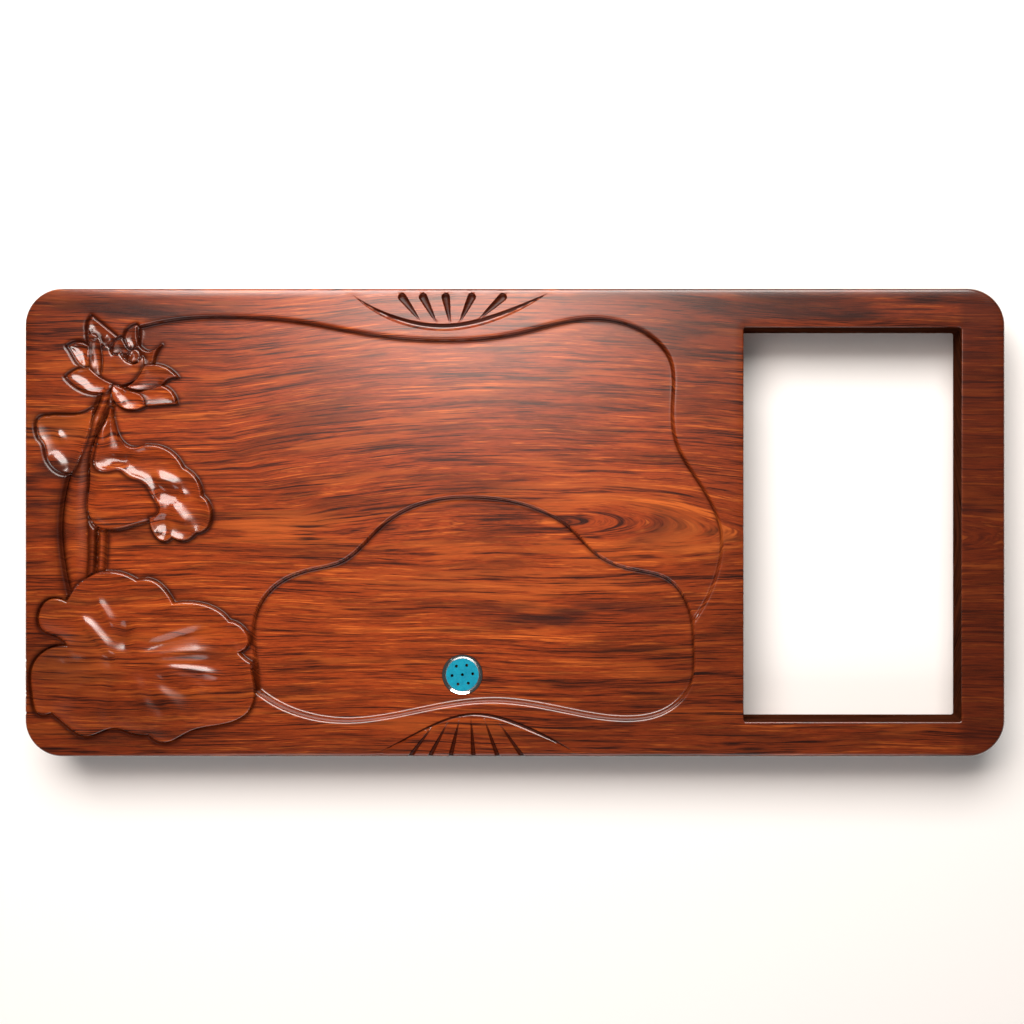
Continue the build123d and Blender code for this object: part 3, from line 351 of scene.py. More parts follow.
class Outline:
    """A closed carved outline: its points, its edges and the distance of any place from it."""

    def __init__(self, runs, step):
        starts = [runs[-1][-1]] + [run[-1] for run in runs]
        pieces = [curve([start] + run, step) for start, run in zip(starts, runs)]
        self.path = np.concatenate([points[:-1] for points, along in pieces])
        x, y = self.path[:, 0], self.path[:, 1]
        turn = 1 if (x * np.roll(y, -1) - np.roll(x, -1) * y).sum() > 0 else -1
        self.edges = [(points, turn * np.stack([along[:, 1], -along[:, 0]], 1)) for points, along in pieces]

    def signed(self, p, reach):
        """Distance outside (above zero) or inside (below zero), not more than the reach."""
        d = np.full(len(p), float(reach))
        index = near_to(self.path, p, reach)
        a, b = self.path, np.roll(self.path, -1, 0)
        lean = (b - a)[:, 0] / np.where(b[:, 1] == a[:, 1], 1, b[:, 1] - a[:, 1])
        for part in np.array_split(index, max(1, len(index) * len(a) // 3000000)):
            x, y = p[part][:, None, 0], p[part][:, None, 1]
            gap = to_segments(p[part], a, b)[0].min(1)
            cross = ((a[:, 1] > y) != (b[:, 1] > y)) & (x < a[:, 0] + (y - a[:, 1]) * lean)
            d[part] = np.where(cross.sum(1) % 2 == 1, -gap, np.minimum(gap, reach))
        return d

    def rows(self, offsets):
        """Points in rows beside the outline, an offset inward where it is above zero."""
        made = []
        for points, normal in self.edges:
            for offset in offsets:
                made.append((points - offset * normal, offset))
        corners = [points[0] for points, normal in self.edges]
        for corner in corners:
            for offset in offsets:
                if abs(offset) > 0.1:
                    count = 6 + int(abs(offset) * 3)
                    angle = np.arange(count) * 2 * math.pi / count
                    ring = corner + abs(offset) * np.stack([np.cos(angle), np.sin(angle)], 1)
                    made.append((ring, offset))
        kept = []
        for points, offset in made:
            d = -self.signed(points, abs(offset) + 2)
            kept.append(points[np.abs(d - offset) < 0.06 + 0.04 * abs(offset)])
        return np.concatenate(kept)


def path_distance(p, path, reach):
    """Distance from an open path, and the share of the way along it of the nearest place."""
    d, way = np.full(len(p), float(reach)), np.zeros(len(p))
    index = near_to(path, p, reach)
    if len(index):
        gap, share = to_segments(p[index], path[:-1], path[1:])
        best = gap.argmin(1)
        rows = np.arange(len(index))
        d[index] = np.minimum(gap[rows, best], reach)
        way[index] = (best + share[rows, best]) / (len(path) - 1)
    return d, way


def round_drop(t, radius):
    """How far a rounded edge lies below its top, a distance in from the edge."""
    s = np.clip(radius - t, 0, radius)
    return radius - np.sqrt(np.maximum(radius ** 2 - s ** 2, 0))


def outside_of(p, x, y, length, width, corner):
    """Distance outside a rounded rectangle, below zero inside."""
    q = np.abs(p - (x, y)) - (length / 2 - corner, width / 2 - corner)
    return np.linalg.norm(np.maximum(q, 0), axis=1) + np.minimum(q.max(1), 0) - corner


def step_down(z, d, floor, lip, cove, lean=0.5):
    """Carves a hollow with a rounded lip and a cove at its foot into the heights z."""
    depth = np.maximum(z - floor, 0)
    cove = np.minimum(cove, 0.7 * depth)
    inward = -d
    lip_z = z - round_drop(d, lip)
    foot = floor + round_drop(inward - lean, cove)
    wall = smooth(inward / lean) * 0.35 + np.clip(inward / lean, 0, 1) * 0.65
    below = (z - lip) + ((floor + cove) - (z - lip)) * wall
    out = np.where(inward <= 0, lip_z, np.where(inward < lean, below, foot))
    return np.minimum(out, z)


def lay_on(z, d, inner, edge):
    """Lays a form over the heights z, with a steep wall and a small cove at its foot."""
    step = np.maximum(edge - z, 0)
    cove = np.minimum(0.62 * step, FOOT_COVE)
    foot = z + round_drop(d - FOOT_OUT, cove)
    share = np.clip((FOOT_OUT - d) / WALL_RUN, 0, 1)
    return foot + (inner - foot) * share


def straight_cuts(pairs, half, depth):
    """The straight cuts of a fan: both ends in millimetres, half width and depth."""
    return [(np.array(field_point(*start)), np.array(field_point(*end)), half, depth) for start, end in pairs]


basin, pond = Outline(BASIN, 2.6), Outline(POND, 2.4)
forms = [(name, Outline(runs, 1.3 if "petal" in name else 1.6), *rest) for name, runs, *rest in FORMS]
arcs = [(Outline(REAR_ARC, 1.5), REAR_ARC_HALF), (Outline(FRONT_ARC, 1.5), FRONT_ARC_HALF)]
veins = [(curve(places, 1.0)[0], width, amount) for places, width, amount in VEINS]
fan_cuts = straight_cuts(REAR_GOUGES, GOUGE_HALF, GOUGE_DEPTH)
fan_cuts += straight_cuts(FRONT_RAYS, RAY_HALF, RAY_DEPTH)


def height(p):
    """Height of the carved top at each place, in millimetres from the rim, and the painted shade that lies
    there.
    """
    z, painted_shade = np.zeros(len(p)), np.zeros(len(p))

    def paint_hollow_shade(d, middle, reach, amount):
        """Painted shade where a wall meets the ground below it."""
        away = np.maximum(d - middle, 0) + 2 * np.maximum(middle - d, 0)
        np.maximum(painted_shade, amount * np.exp(-(away / reach) ** 2), out=painted_shade)

    def shade(outline, d, x, y):
        """Weight of the painted shade: strong on an outline's side toward x, y, and weak on the far side."""
        share = (outline.signed(p + np.array([x, y]), 12) - d) / math.hypot(x, y)
        return np.clip(0.6 + 0.6 * share, 0.15, 1)

    # Ground round the relief, then the basin's step through it
    gaps = {name: outline.signed(p, REACH) for name, outline, *rest in forms}
    beside = np.minimum.reduce([gaps[name] for name in gaps if name != "big_leaf"])
    z -= GROUND_DEPTH * (1 - smooth(beside / GROUND_REACH))
    z = np.minimum(z, -LEAF_GROUND_DEPTH * (1 - smooth(gaps["big_leaf"] / LEAF_GROUND_REACH)))
    to_basin = basin.signed(p, 12)
    z = step_down(z, to_basin, -BASIN_DEPTH, LIP, COVE)
    # Painted shade at the foot of the basin's wall, strongest along its rear wall
    paint_hollow_shade(-to_basin, 1.0, 2.0, 0.8 * shade(basin, to_basin, 0, 0.5))
    # Forms, one over the other
    for name, outline, level, scoop, spread, roll in forms:
        d = gaps[name]
        near = d < 6
        t = np.maximum(-d[near], 0)
        form = level - scoop * (1 - np.exp(-(t / spread) ** 1.3))
        inner = form - round_drop(t, roll)
        z[near] = lay_on(z[near], d[near], inner, level - roll)
        painted_shade *= np.clip(d + 1, 0, 1)
        # Painted shade round each form's foot
        paint_hollow_shade(d, 1.2, 6.0 if name == "main_stem" else 2.6, 0.92)
        if "stem" in name:
            # Painted shade on the rod's flanks too, strongest on its left side
            left = shade(outline, np.minimum(d, 12), -0.5, 0)
            flank = (0.5 + 0.4 * left) * np.exp(-(d / (1.6 + 2.4 * left)) ** 2)
            painted_shade = np.maximum(painted_shade, np.where(d < 0, flank, 0))
    shaped = np.zeros(len(p))
    for path, width, amount in veins:
        d, way = path_distance(p, path, 5.2 * width)
        ends = smooth(way * 3) * smooth((1 - way) * 3)
        shaped += VEIN_HEIGHT * amount * np.exp(-(d / width / VEIN_SPREAD) ** 2) * ends
    on_form = np.clip(-np.minimum.reduce(list(gaps.values())) / 1.2, 0, 1)
    # Tall ridges round off just under the rim
    z += shaped * on_form
    z = np.where(on_form > 0, -np.logaddexp(0, -2.2 * z) / 2.2, np.minimum(z, 0))
    # Painted shade in the veins' grooves
    painted_shade = np.maximum(painted_shade, np.clip(-0.12 * shaped, 0, 0.5) * on_form)
    to_pond = pond.signed(p, REACH)
    z = step_down(z, to_pond, -POND_DEPTH, LIP, COVE, 0.6)
    painted_shade *= np.clip(to_pond / 1.5 + 1, 0, 1)
    # Painted shade at the foot of the pond's wall, strongest along its rear wall
    paint_hollow_shade(-to_pond, 1.0, 2.0, 0.8 * shade(pond, to_pond, 0, 0.5))
    for arc, half in arcs:
        t = np.maximum(-arc.signed(p, 4), 0)
        rearward = np.maximum(-arc.signed(p + np.array([0, 0.4]), 4), 0)
        cut = 1 - (1 - np.clip(t / half, 0, 1)) ** 1.6
        z -= ARC_DEPTH * cut
        # Painted shade on the groove's rear wall, which faces away from the lamps behind; its front side is
        # polished
        painted_shade = np.maximum(painted_shade, 0.95 * np.where(rearward > t + 0.1, 0, np.clip(3 * cut, 0, 1)))
    for start, end, half, depth in fan_cuts:
        d, way = path_distance(p, np.array([start, end]), 6)
        width = half * (1 - way) ** 0.75 + 0.25
        cut = (1 - way ** 4) * np.sqrt(np.clip(1 - (d / width) ** 2, 0, 1))
        z -= depth * cut
        # Painted shade inside the fans' cuts, darkest where they are deepest
        painted_shade = np.maximum(painted_shade, 0.95 * np.clip(1.6 * cut, 0, 1))
    z -= round_drop(-outside_of(p, *RIM), TOP_ROUND)
    return z - round_drop(outside_of(p, *CUT_OUT), CUT_ROUND), painted_shade


def rounded_loop(x, y, length, width, corner, steps, fine=()):
    """Points round a rounded rectangle, and their outward directions, closer in a span of its front side."""
    points, normals = [], []
    half_l, half_w = length / 2 - corner, width / 2 - corner
    sides = [(-half_l, -half_w, 1, 0, 0, -1), (half_l, -half_w, 0, 1, 1, 0),
             (half_l, half_w, -1, 0, 0, 1), (-half_l, half_w, 0, -1, -1, 0)]
    for cx, cy, dx, dy, nx, ny in sides:
        span = 2 * half_l if dx else 2 * half_w
        s = list(np.linspace(0, span, max(2, round(span / 4)) + 1))
        if fine and ny < 0:
            s = [v for v in s if not fine[0] < v - half_l < fine[1]]
            s = sorted(s + list(np.arange(fine[0], fine[1], 0.55) + half_l))
        for v in s:
            points.append((x + cx + dx * v + nx * corner, y + cy + dy * v + ny * corner))
            normals.append((nx, ny))
        ex, ey = cx + dx * span, cy + dy * span
        for i in range(1, steps):
            turn = i * math.pi / 2 / steps
            ux = nx * math.cos(turn) + dx * math.sin(turn)
            uy = ny * math.cos(turn) + dy * math.sin(turn)
            points.append((x + ex + ux * corner, y + ey + uy * corner))
            normals.append((ux, uy))
    return np.array(points), np.array(normals)


def even_grid(pitch, low_x, low_y, high_x, high_y):
    """Points in a square pattern."""
    x, y = np.meshgrid(np.arange(low_x, high_x, pitch), np.arange(low_y, high_y, pitch))
    return np.stack([x.ravel(), y.ravel()], 1)


def clear_of(places, points, clear):
    """Those points that stand farther than clear from all the places."""
    tree = kdtree.KDTree(len(places))
    for i, place in enumerate(places):
        tree.insert((*place, 0), i)
    tree.balance()
    return np.array([q for q in points if tree.find((*q, 0))[2] > clear])


def carved_board():
    """One closed mesh of the board: the carved top, the sides, the cut-out's walls and the bottom."""
    # The rim's points stand closer where the front fan's rays run out
    rim, rim_out = rounded_loop(*RIM, 22, RAY_SPAN)
    cut, cut_out = rounded_loop(*CUT_OUT, 4)
    bend = [TOP_ROUND * (1 - math.cos(math.radians(a))) for a in (15, 30, 45, 60, 75, 90)]
    cut_bend = [CUT_ROUND * (1 - math.cos(math.radians(a))) for a in (25, 50, 75, 90)]
    sets = [rim - t * rim_out for t in bend] + [cut + t * cut_out for t in cut_bend]
    down = (-4.2, -2.5, -1.9, -1.35, -0.9, -0.5, -0.2, 0, 0.5, 0.8, 1.2, 1.75, 2.4, 3.1, 5.4)
    sets += [basin.rows(down), pond.rows(down)]
    up = (-4.6, -2.9, -2.2, -1.6, -1.1, -0.65, -0.3, 0.15, 0.5, 0.9, 1.4, 2.1, 3.2, 4.6)
    for name, outline, *rest in forms:
        sets.append(outline.rows(up))
    for arc, half in arcs:
        sets.append(arc.rows((-1.2, -0.3, 0, 0.3, 0.8, 1.4, 2.1, 2.8)))
    spread = (-1.5, -1.12, -1, -0.93, -0.75, -0.45, 0, 0.45, 0.75, 0.93, 1, 1.12, 1.5)
    for start, end, half, depth in fan_cuts:
        length = np.linalg.norm(end - start)
        along = (end - start) / length
        across = np.array([-along[1], along[0]])
        for s in np.arange(-half - 1, length + 2, 0.8):
            w = half * (1 - np.clip(s / length, 0, 1)) ** 0.75 + 0.25
            w = math.sqrt(max(w * w - s * s, 0.04)) if s < 0 else w
            sets.append(np.array([start + along * s + across * w * k for k in spread]))
    rows = np.concatenate(sets)
    rows = rows[np.sort(np.unique(np.round(rows / THINNING), axis=0, return_index=True)[1])]
    fine = even_grid(FINE_PITCH, *FINE_BOX)
    relief = np.minimum.reduce([outline.signed(fine, 9) for name, outline, *rest in forms])
    fine = clear_of(rows, fine[relief < 8], FINE_CLEAR)
    half_x, half_y = BOARD_LENGTH / 2 - WIDE_MARGIN, BOARD_WIDTH / 2 - WIDE_MARGIN
    wide = clear_of(rows, even_grid(WIDE_PITCH, -half_x, -half_y, half_x, half_y), WIDE_CLEAR)
    wide = clear_of(fine, wide, WIDE_CLEAR)
    inner = np.concatenate([rows, fine, wide])
    inner = inner[(outside_of(inner, *RIM) < -0.08) & (outside_of(inner, *CUT_OUT) > 0.03)]
    points = np.concatenate([rim, cut, inner])
    n, m = len(rim), len(cut)
    lines = [(i, (i + 1) % n) for i in range(n)] + [(n + i, n + (i + 1) % m) for i in range(m)]
    verts, _, faces, origin, *_ = delaunay_2d_cdt([Vector(q) for q in points], lines, [], 0, 1e-4)
    flat = np.array([tuple(v) for v in verts])
    triangles = np.array(faces)
    middle = flat[triangles].mean(1)
    keep = (outside_of(middle, *RIM) < 0) & (outside_of(middle, *CUT_OUT) > 0)
    triangles = triangles[keep]
    place_of = {source: i for i, sources in enumerate(origin) for source in sources}
    z, painted_shade = height(flat)
    coords = [tuple(v) for v in np.column_stack([flat, TOP + z])]
    polygons = [tuple(t) for t in triangles]
    top_rim = [place_of[i] for i in range(n)]
    top_cut = [place_of[n + i] for i in range(m)]

    def band(last, ring):
        """Joins the last ring of points to a new one below it."""
        start = len(coords)
        coords.extend(tuple(v) for v in ring)
        now = list(range(start, start + len(ring)))
        for i in range(len(ring)):
            j = (i + 1) % len(ring)
            polygons.append((last[i], now[i], now[j], last[j]))
        return now

    # The outer side and its rounding, then the cut-out's walls, and the bottom between them
    level = top_rim
    for z_low in (48, 38, 28, 20, BOTTOM + BOTTOM_ROUND):
        level = band(level, np.column_stack([rim, np.full(n, z_low)]))
    for a in (22.5, 45, 67.5, 90):
        inset = BOTTOM_ROUND * (1 - math.cos(math.radians(a)))
        z_low = BOTTOM + BOTTOM_ROUND * (1 - math.sin(math.radians(a)))
        level = band(level, np.column_stack([rim - inset * rim_out, np.full(n, z_low)]))
    bottom_rim = level
    level = top_cut
    for z_low in (46, 36, 25, BOTTOM):
        level = band(level, np.column_stack([cut, np.full(m, z_low)]))
    bottom_cut = level
    ring = bottom_rim + bottom_cut
    flat_ring = [Vector(coords[i][:2]) for i in ring]
    verts, _, faces, origin, *_ = delaunay_2d_cdt(flat_ring, lines, [], 0, 1e-4)
    back = [ring[source[0]] for source in origin]
    under = np.array([tuple(v) for v in verts])
    for face in faces:
        middle = under[list(face)].mean(0)[None]
        inside = outside_of(middle, *RIM)[0] <= -BOTTOM_ROUND * 0.2
        if inside and outside_of(middle, *CUT_OUT)[0] >= 0:
            polygons.append(tuple(back[i] for i in reversed(face)))
    return coords, polygons, np.concatenate([painted_shade, np.zeros(len(coords) - len(painted_shade))])


def add_object(name, data):
    """A new object in the scene."""
    made = bpy.data.objects.new(name, data)
    bpy.context.scene.collection.objects.link(made)
    return made


def new_object(name, coords, polygons):
    """A mesh object from millimetres, with all faces turned outward."""
    mesh = bpy.data.meshes.new(name)
    mesh.from_pydata([tuple(MM * c for c in v) for v in coords], [], polygons)
    built = bmesh.new()
    built.from_mesh(mesh)
    bmesh.ops.recalc_face_normals(built, faces=built.faces)
    built.to_mesh(mesh)
    built.free()
    return add_object(name, mesh)


def prism(section, low, high, plane="XY"):
    """A closed prism of a section: along Z for plane XY, along Y for plane XZ."""
    n = len(section)
    if plane == "XY":
        coords = [(x, y, low) for x, y in section] + [(x, y, high) for x, y in section]
    else:
        coords = [(x, low, z) for x, z in section] + [(x, high, z) for x, z in section]
    polygons = [tuple(range(n)), tuple(range(2 * n - 1, n - 1, -1))]
    polygons += [(i, n + i, n + (i + 1) % n, (i + 1) % n) for i in range(n)]
    return coords, polygons


def circle(x, y, radius, count=96):
    """Points round a circle."""
    turns = [2 * math.pi * i / count for i in range(count)]
    return [(x + radius * math.cos(turn), y + radius * math.sin(turn)) for turn in turns]


def cutter(name, prisms):
    """One object of several prisms, for cutting."""
    coords, polygons = [], []
    for part, faces in prisms:
        base = len(coords)
        coords += part
        polygons += [tuple(base + i for i in face) for face in faces]
    return new_object(name, coords, polygons)


coords, polygons, painted_shade = carved_board()
board = new_object("carved_board", coords, polygons)
board.data.attributes.new("painted_shade", "FLOAT", "POINT").data.foreach_set("value", painted_shade.astype(np.float32))
dovetails = []
for x in [middle_of(node, 0)[0] for node in BATTENS]:
    section = [(x - DOVETAIL_NECK, BELOW), (x + DOVETAIL_NECK, BELOW), (x + DOVETAIL_NECK, BOTTOM),
               (x + DOVETAIL_WIDE, DOVETAIL_TOP), (x - DOVETAIL_WIDE, DOVETAIL_TOP),
               (x - DOVETAIL_NECK, BOTTOM)]
    dovetails.append(prism(section, DOVETAIL_FRONT, BEHIND, "XZ"))
bar_seat = prism(rounded_loop(BAR_X, 0, BAR_WIDTH, BAR_LENGTH, BAR_CORNER, 5)[0].tolist(), BELOW, BAR_TOP)
drain_seat = prism(circle(DRAIN_X, DRAIN_Y, SEAT_RADIUS), SEAT_FLOOR, TOP + OVERRUN)
pocket = prism(circle(DRAIN_X, DRAIN_Y, POCKET_RADIUS, 128), BELOW, POCKET_TOP)
bore = prism(circle(DRAIN_X, DRAIN_Y, BORE_RADIUS), POCKET_TOP - OVERRUN, SEAT_FLOOR + OVERRUN)
left, right = DRAIN_X - CHANNEL_HALF, DRAIN_X + CHANNEL_HALF
channel = prism([(left, DRAIN_Y), (right, DRAIN_Y), (right, BEHIND), (left, BEHIND)], BELOW, CHANNEL_TOP)
cuts = [cutter("cut_seats", dovetails + [bar_seat, drain_seat]), cutter("cut_pocket", [pocket]),
        cutter("cut_bores", [bore, channel])]
for tool in cuts:
    step = board.modifiers.new(tool.name, "BOOLEAN")
    step.operation = "DIFFERENCE"
    step.object = tool
    step.solver = "MANIFOLD"
shown = board.evaluated_get(bpy.context.evaluated_depsgraph_get())
finished = bpy.data.meshes.new_from_object(shown)
board.modifiers.clear()
board.data = finished
for tool in cuts:
    bpy.data.objects.remove(tool)
finished.polygons.foreach_set("use_smooth", [True] * len(finished.polygons))
finished.set_sharp_from_angle(angle=math.radians(38))
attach(board, "tray")
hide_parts("tray_board")


class Tree:
    """The nodes of a material or a lamp, with short calls for them."""

    def __init__(self, owner):
        owner.use_nodes = True
        self.nodes, self.links = owner.node_tree.nodes, owner.node_tree.links

    def put(self, socket, value):
        if isinstance(value, bpy.types.NodeSocket):
            self.links.new(value, socket)
        else:
            socket.default_value = value

    def math(self, operation, *values, clamp=False):
        node = self.nodes.new("ShaderNodeMath")
        node.operation, node.use_clamp = operation, clamp
        for socket, value in zip(node.inputs, values):
            self.put(socket, value)
        return node.outputs[0]

    def parts(self, vector):
        node = self.nodes.new("ShaderNodeSeparateXYZ")
        self.links.new(vector, node.inputs[0])
        return node.outputs


class Paint(Tree):
    """A node material."""

    def __init__(self, name):
        self.material = bpy.data.materials.new(name)
        super().__init__(self.material)
        self.shader = self.nodes["Principled BSDF"]
        self.place = self.nodes.new("ShaderNodeTexCoord").outputs["Object"]

    def stretched(self, scale):
        node = self.nodes.new("ShaderNodeMapping")
        self.links.new(self.place, node.inputs[0])
        node.inputs["Scale"].default_value = scale
        return node.outputs[0]

    def noise(self, place, scale, detail, roughness):
        node = self.nodes.new("ShaderNodeTexNoise")
        self.links.new(place, node.inputs["Vector"])
        node.inputs["Scale"].default_value = scale
        node.inputs["Detail"].default_value = detail
        node.inputs["Roughness"].default_value = roughness
        return node.outputs["Fac"]

    def ramp(self, value, stops):
        node = self.nodes.new("ShaderNodeValToRGB")
        self.links.new(value, node.inputs[0])
        bar = node.color_ramp.elements
        while len(bar) < len(stops):
            bar.new(0.5)
        for element, (at, colour) in zip(bar, stops):
            element.position = at
            element.color = (*colour, 1) if isinstance(colour, tuple) else (colour, colour, colour, 1)
        return node.outputs[0]

    def mix(self, share, a, b, how="MIX"):
        node = self.nodes.new("ShaderNodeMix")
        node.data_type, node.blend_type = "RGBA", how
        self.put(node.inputs[0], share)
        for socket, value in ((node.inputs[6], a), (node.inputs[7], b)):
            self.put(socket, (*value, 1) if isinstance(value, tuple) else value)
        return node.outputs[2]

    def bump(self, value, distance, strength, under=None):
        node = self.nodes.new("ShaderNodeBump")
        node.inputs["Strength"].default_value = strength
        node.inputs["Distance"].default_value = distance
        self.links.new(value, node.inputs["Height"])
        if under is not None:
            self.links.new(under, node.inputs["Normal"])
        return node.outputs[0]

    def finish(self, **values):
        for name, value in values.items():
            self.put(self.shader.inputs[name.replace("_", " ")], value)
        return self.material


def patch(paint, xyz, x, y, reach_x, reach_y):
    """A soft spot, one in its middle and zero away from it, at a place in metres."""
    a = paint.math("DIVIDE", paint.math("SUBTRACT", xyz[0], x), reach_x)
    b = paint.math("DIVIDE", paint.math("SUBTRACT", xyz[1], y), reach_y)
    squares = paint.math("ADD", paint.math("MULTIPLY", a, a), paint.math("MULTIPLY", b, b))
    return paint.math("SUBTRACT", 1, squares, clamp=True)


# Marks on the slab, as places and reaches in metres: dark spots, the first of them painted shade that dims
# the rear rail's left end, and orange streaks
DARK_SPOTS = [
    (-0.36, 0.190, 0.13, 0.030), (0.20, 0.195, 0.17, 0.030), (0.36, 0.195, 0.10, 0.028),
    (-0.43, 0.03, 0.05, 0.09), (0.135, -0.008, 0.05, 0.022), (0.05, -0.085, 0.13, 0.016),
]
ORANGE_SPOTS = [
    (-0.215, 0.0, 0.06, 0.016), (-0.02, -0.055, 0.16, 0.018), (-0.40, -0.13, 0.05, 0.03),
    (-0.43, 0.085, 0.05, 0.02), (0.06, 0.030, 0.10, 0.012), (0.165, -0.015, 0.05, 0.02),
]
CLOUD_SHARE, WARM_SHARE = 0.50, 0.30
# The heart that the growth rings close round, in metres: its line, its right end, how far it wanders and bows
HEART_Y, HEART_END, HEART_WANDER, HEART_BOW = -0.012, 0.08, 0.030, 0.022


def wood(name, dark, middle, light, streak, gloss, shine=0.12, turned=False):
    """Streaky wood. The grain runs along X, or along Y where turned, and bows round a heart."""
    paint = Paint(name)
    math_of, ramp, mix = paint.math, paint.ramp, paint.mix
    x, y, z = paint.parts(paint.place)
    xyz = (y, x, z) if turned else (x, y, z)
    wander = paint.noise(paint.stretched((2.4, 6.0, 3.0)), 1.0, 3, 0.5)
    bow = math_of("MULTIPLY", patch(paint, xyz, 0.03, 0.12, 0.30, 0.17), -HEART_BOW)
    bent = math_of("ADD", xyz[1], math_of("MULTIPLY", math_of("SUBTRACT", wander, 0.5), HEART_WANDER))
    from_heart = math_of("ADD", math_of("ADD", bent, bow), -HEART_Y)
    past = math_of("SUBTRACT", xyz[0], HEART_END)
    far = math_of("SQRT", math_of("ADD", math_of("MULTIPLY", past, past), 0.0006))
    closing = math_of("MULTIPLY", math_of("ADD", past, far), 0.0011)
    ring = math_of("SQRT", math_of("ADD", math_of("MULTIPLY", from_heart, from_heart), closing))
    ring = math_of("ADD", ring, math_of("MULTIPLY", xyz[2], 0.8))

    def grain(along, across, shift, detail=4, roughness=0.6):
        """Noise stretched along the rings, in waves to the metre."""
        joined = paint.nodes.new("ShaderNodeCombineXYZ")
        values, scales = (xyz[0], ring, from_heart), (along, across, across * 0.06)
        for socket, value, scale in zip(joined.inputs, values, scales):
            paint.links.new(math_of("MULTIPLY_ADD", value, scale, shift), socket)
        return paint.noise(joined.outputs[0], 1.0, detail, roughness)

    bands = grain(2.6, 70, 1.7, 3, 0.55)
    streaks = grain(8, 330, 4.1, 4, 0.68)
    pores = grain(30, 1200, 8.3, 3, 0.6)
    tone = math_of("ADD", math_of("MULTIPLY", bands, 0.16), math_of("MULTIPLY", streaks, 0.46))
    tone = math_of("ADD", tone, math_of("MULTIPLY", pores, 0.38))
    colour = ramp(tone, [(0.42, dark), (0.465, middle), (0.51, light), (0.545, middle), (0.59, streak)])
    # Thin dark growth lines, broken along their length
    crossing = math_of("ABSOLUTE", math_of("SUBTRACT", grain(3.6, 210, 12.9, 2, 0.5), 0.5))
    broken = ramp(grain(13, 120, 17.2), [(0.44, 0.0), (0.58, 1.0)])
    line = math_of("MULTIPLY", ramp(crossing, [(0.0, 1.0), (0.060, 0.0)]), broken)
    colour = mix(math_of("MULTIPLY", line, 0.70), colour, tuple(0.4 * c for c in dark))
    # Smoky clouds and warm patches, ragged along the grain
    ragged = math_of("MULTIPLY", math_of("SUBTRACT", streaks, 0.5), 0.45)
    cloud = math_of("ADD", grain(9, 60, 21.4, 3, 0.55), ragged)
    smoky = math_of("MULTIPLY", ramp(cloud, [(0.50, 0.0), (0.68, 1.0)]), CLOUD_SHARE)
    colour = mix(smoky, colour, (1.1 * dark[0], 1.9 * dark[1], 3.2 * dark[2]))
    warmth = math_of("ADD", grain(9, 60, 31.4, 3, 0.5), ragged)
    colour = mix(math_of("MULTIPLY", ramp(warmth, [(0.56, 0.0), (0.64, 1.0)]), WARM_SHARE), colour, streak)
    lacquer = 0.0
    if name == "rosewood":
        # Dark spots with ragged edges; the one at the rear rail's left is painted shade
        spot_edge = ramp(cloud, [(0.40, 0.0), (0.56, 1.0)])
        for spot in DARK_SPOTS:
            share = math_of("MULTIPLY", patch(paint, xyz, *spot), spot_edge)
            colour = mix(math_of("MULTIPLY", share, 0.8), colour, (0.030, 0.008, 0.006))
        warm = ramp(streaks, [(0.40, 0.0), (0.55, 1.0)])
        for spot in ORANGE_SPOTS:
            share = math_of("MULTIPLY", patch(paint, xyz, *spot), warm)
            colour = mix(math_of("MULTIPLY", share, 0.6), colour, (0.50, 0.105, 0.018))
        # The right stile is redder, and the slab darkens away from its middle left
        stile = math_of("MULTIPLY", math_of("SUBTRACT", xyz[0], 0.405), 120, clamp=True)
        colour = mix(math_of("MULTIPLY", stile, 0.55), colour, (0.085, 0.0105, 0.0025))
        middle_left_patch = patch(paint, xyz, -0.13, 0.03, 0.37, 0.26)
        colour = mix(1.0, colour, ramp(middle_left_patch, [(0.0, 0.56), (0.55, 1.0)]), "MULTIPLY")
        # Painted shade in the carving's hollows and on walls facing away from the lamps, which also takes the
        # lacquer's reflection away there
        attribute = paint.nodes.new("ShaderNodeAttribute")
        attribute.attribute_name = "painted_shade"
        painted_shade_share = attribute.outputs["Fac"]
        colour = mix(math_of("MULTIPLY", painted_shade_share, 0.90), colour, (0.018, 0.0022, 0.0008))
        lacquer = math_of("MULTIPLY_ADD", painted_shade_share, -0.95, 1.0)
    normal = paint.bump(pores, 0.00006, 0.5, paint.bump(streaks, 0.00012, 0.4))
    rough = ramp(cloud, [(0.3, gloss + 0.06), (0.7, gloss - 0.03)])
    return paint.finish(Base_Color=colour, Roughness=rough, Normal=normal, Coat_Weight=lacquer,
                        Coat_Roughness=0.16, Coat_IOR=1.65, Specular_IOR_Level=shine)


def metal(name, colour, rough, brushed=0.0, spread=0.08, worn=0.25, shaded_below=None):
    """Bare metal with brushed lines or a fine mottle in its roughness, a slight tarnish, and painted shade
    below a given height.
    """
    paint = Paint(name)
    lines = paint.noise(paint.stretched((40, 2600, 2600) if brushed else (900, 900, 900)), 1.0, 4, 0.6)
    haze = paint.noise(paint.place, 120, 4, 0.6)
    shade = paint.ramp(haze, [(0.25, tuple(c * (1 - worn) for c in colour)), (0.7, colour)])
    shade = paint.mix(brushed * 0.5, shade, paint.ramp(lines, [(0.3, 0.55), (0.6, 1.0)]), "MULTIPLY")
    # Painted shade: near black below the given height
    if shaded_below is not None:
        low = paint.math("LESS_THAN", paint.parts(paint.place)[2], shaded_below)
        shade = paint.mix(low, shade, (0.03, 0.018, 0.01))
    roughness = paint.ramp(lines, [(0.3, max(0.03, rough - spread)), (0.7, rough + spread)])
    return paint.finish(Base_Color=shade, Metallic=1.0, Roughness=roughness,
                        Normal=paint.bump(lines, 0.00003, 0.25 + brushed * 0.3))


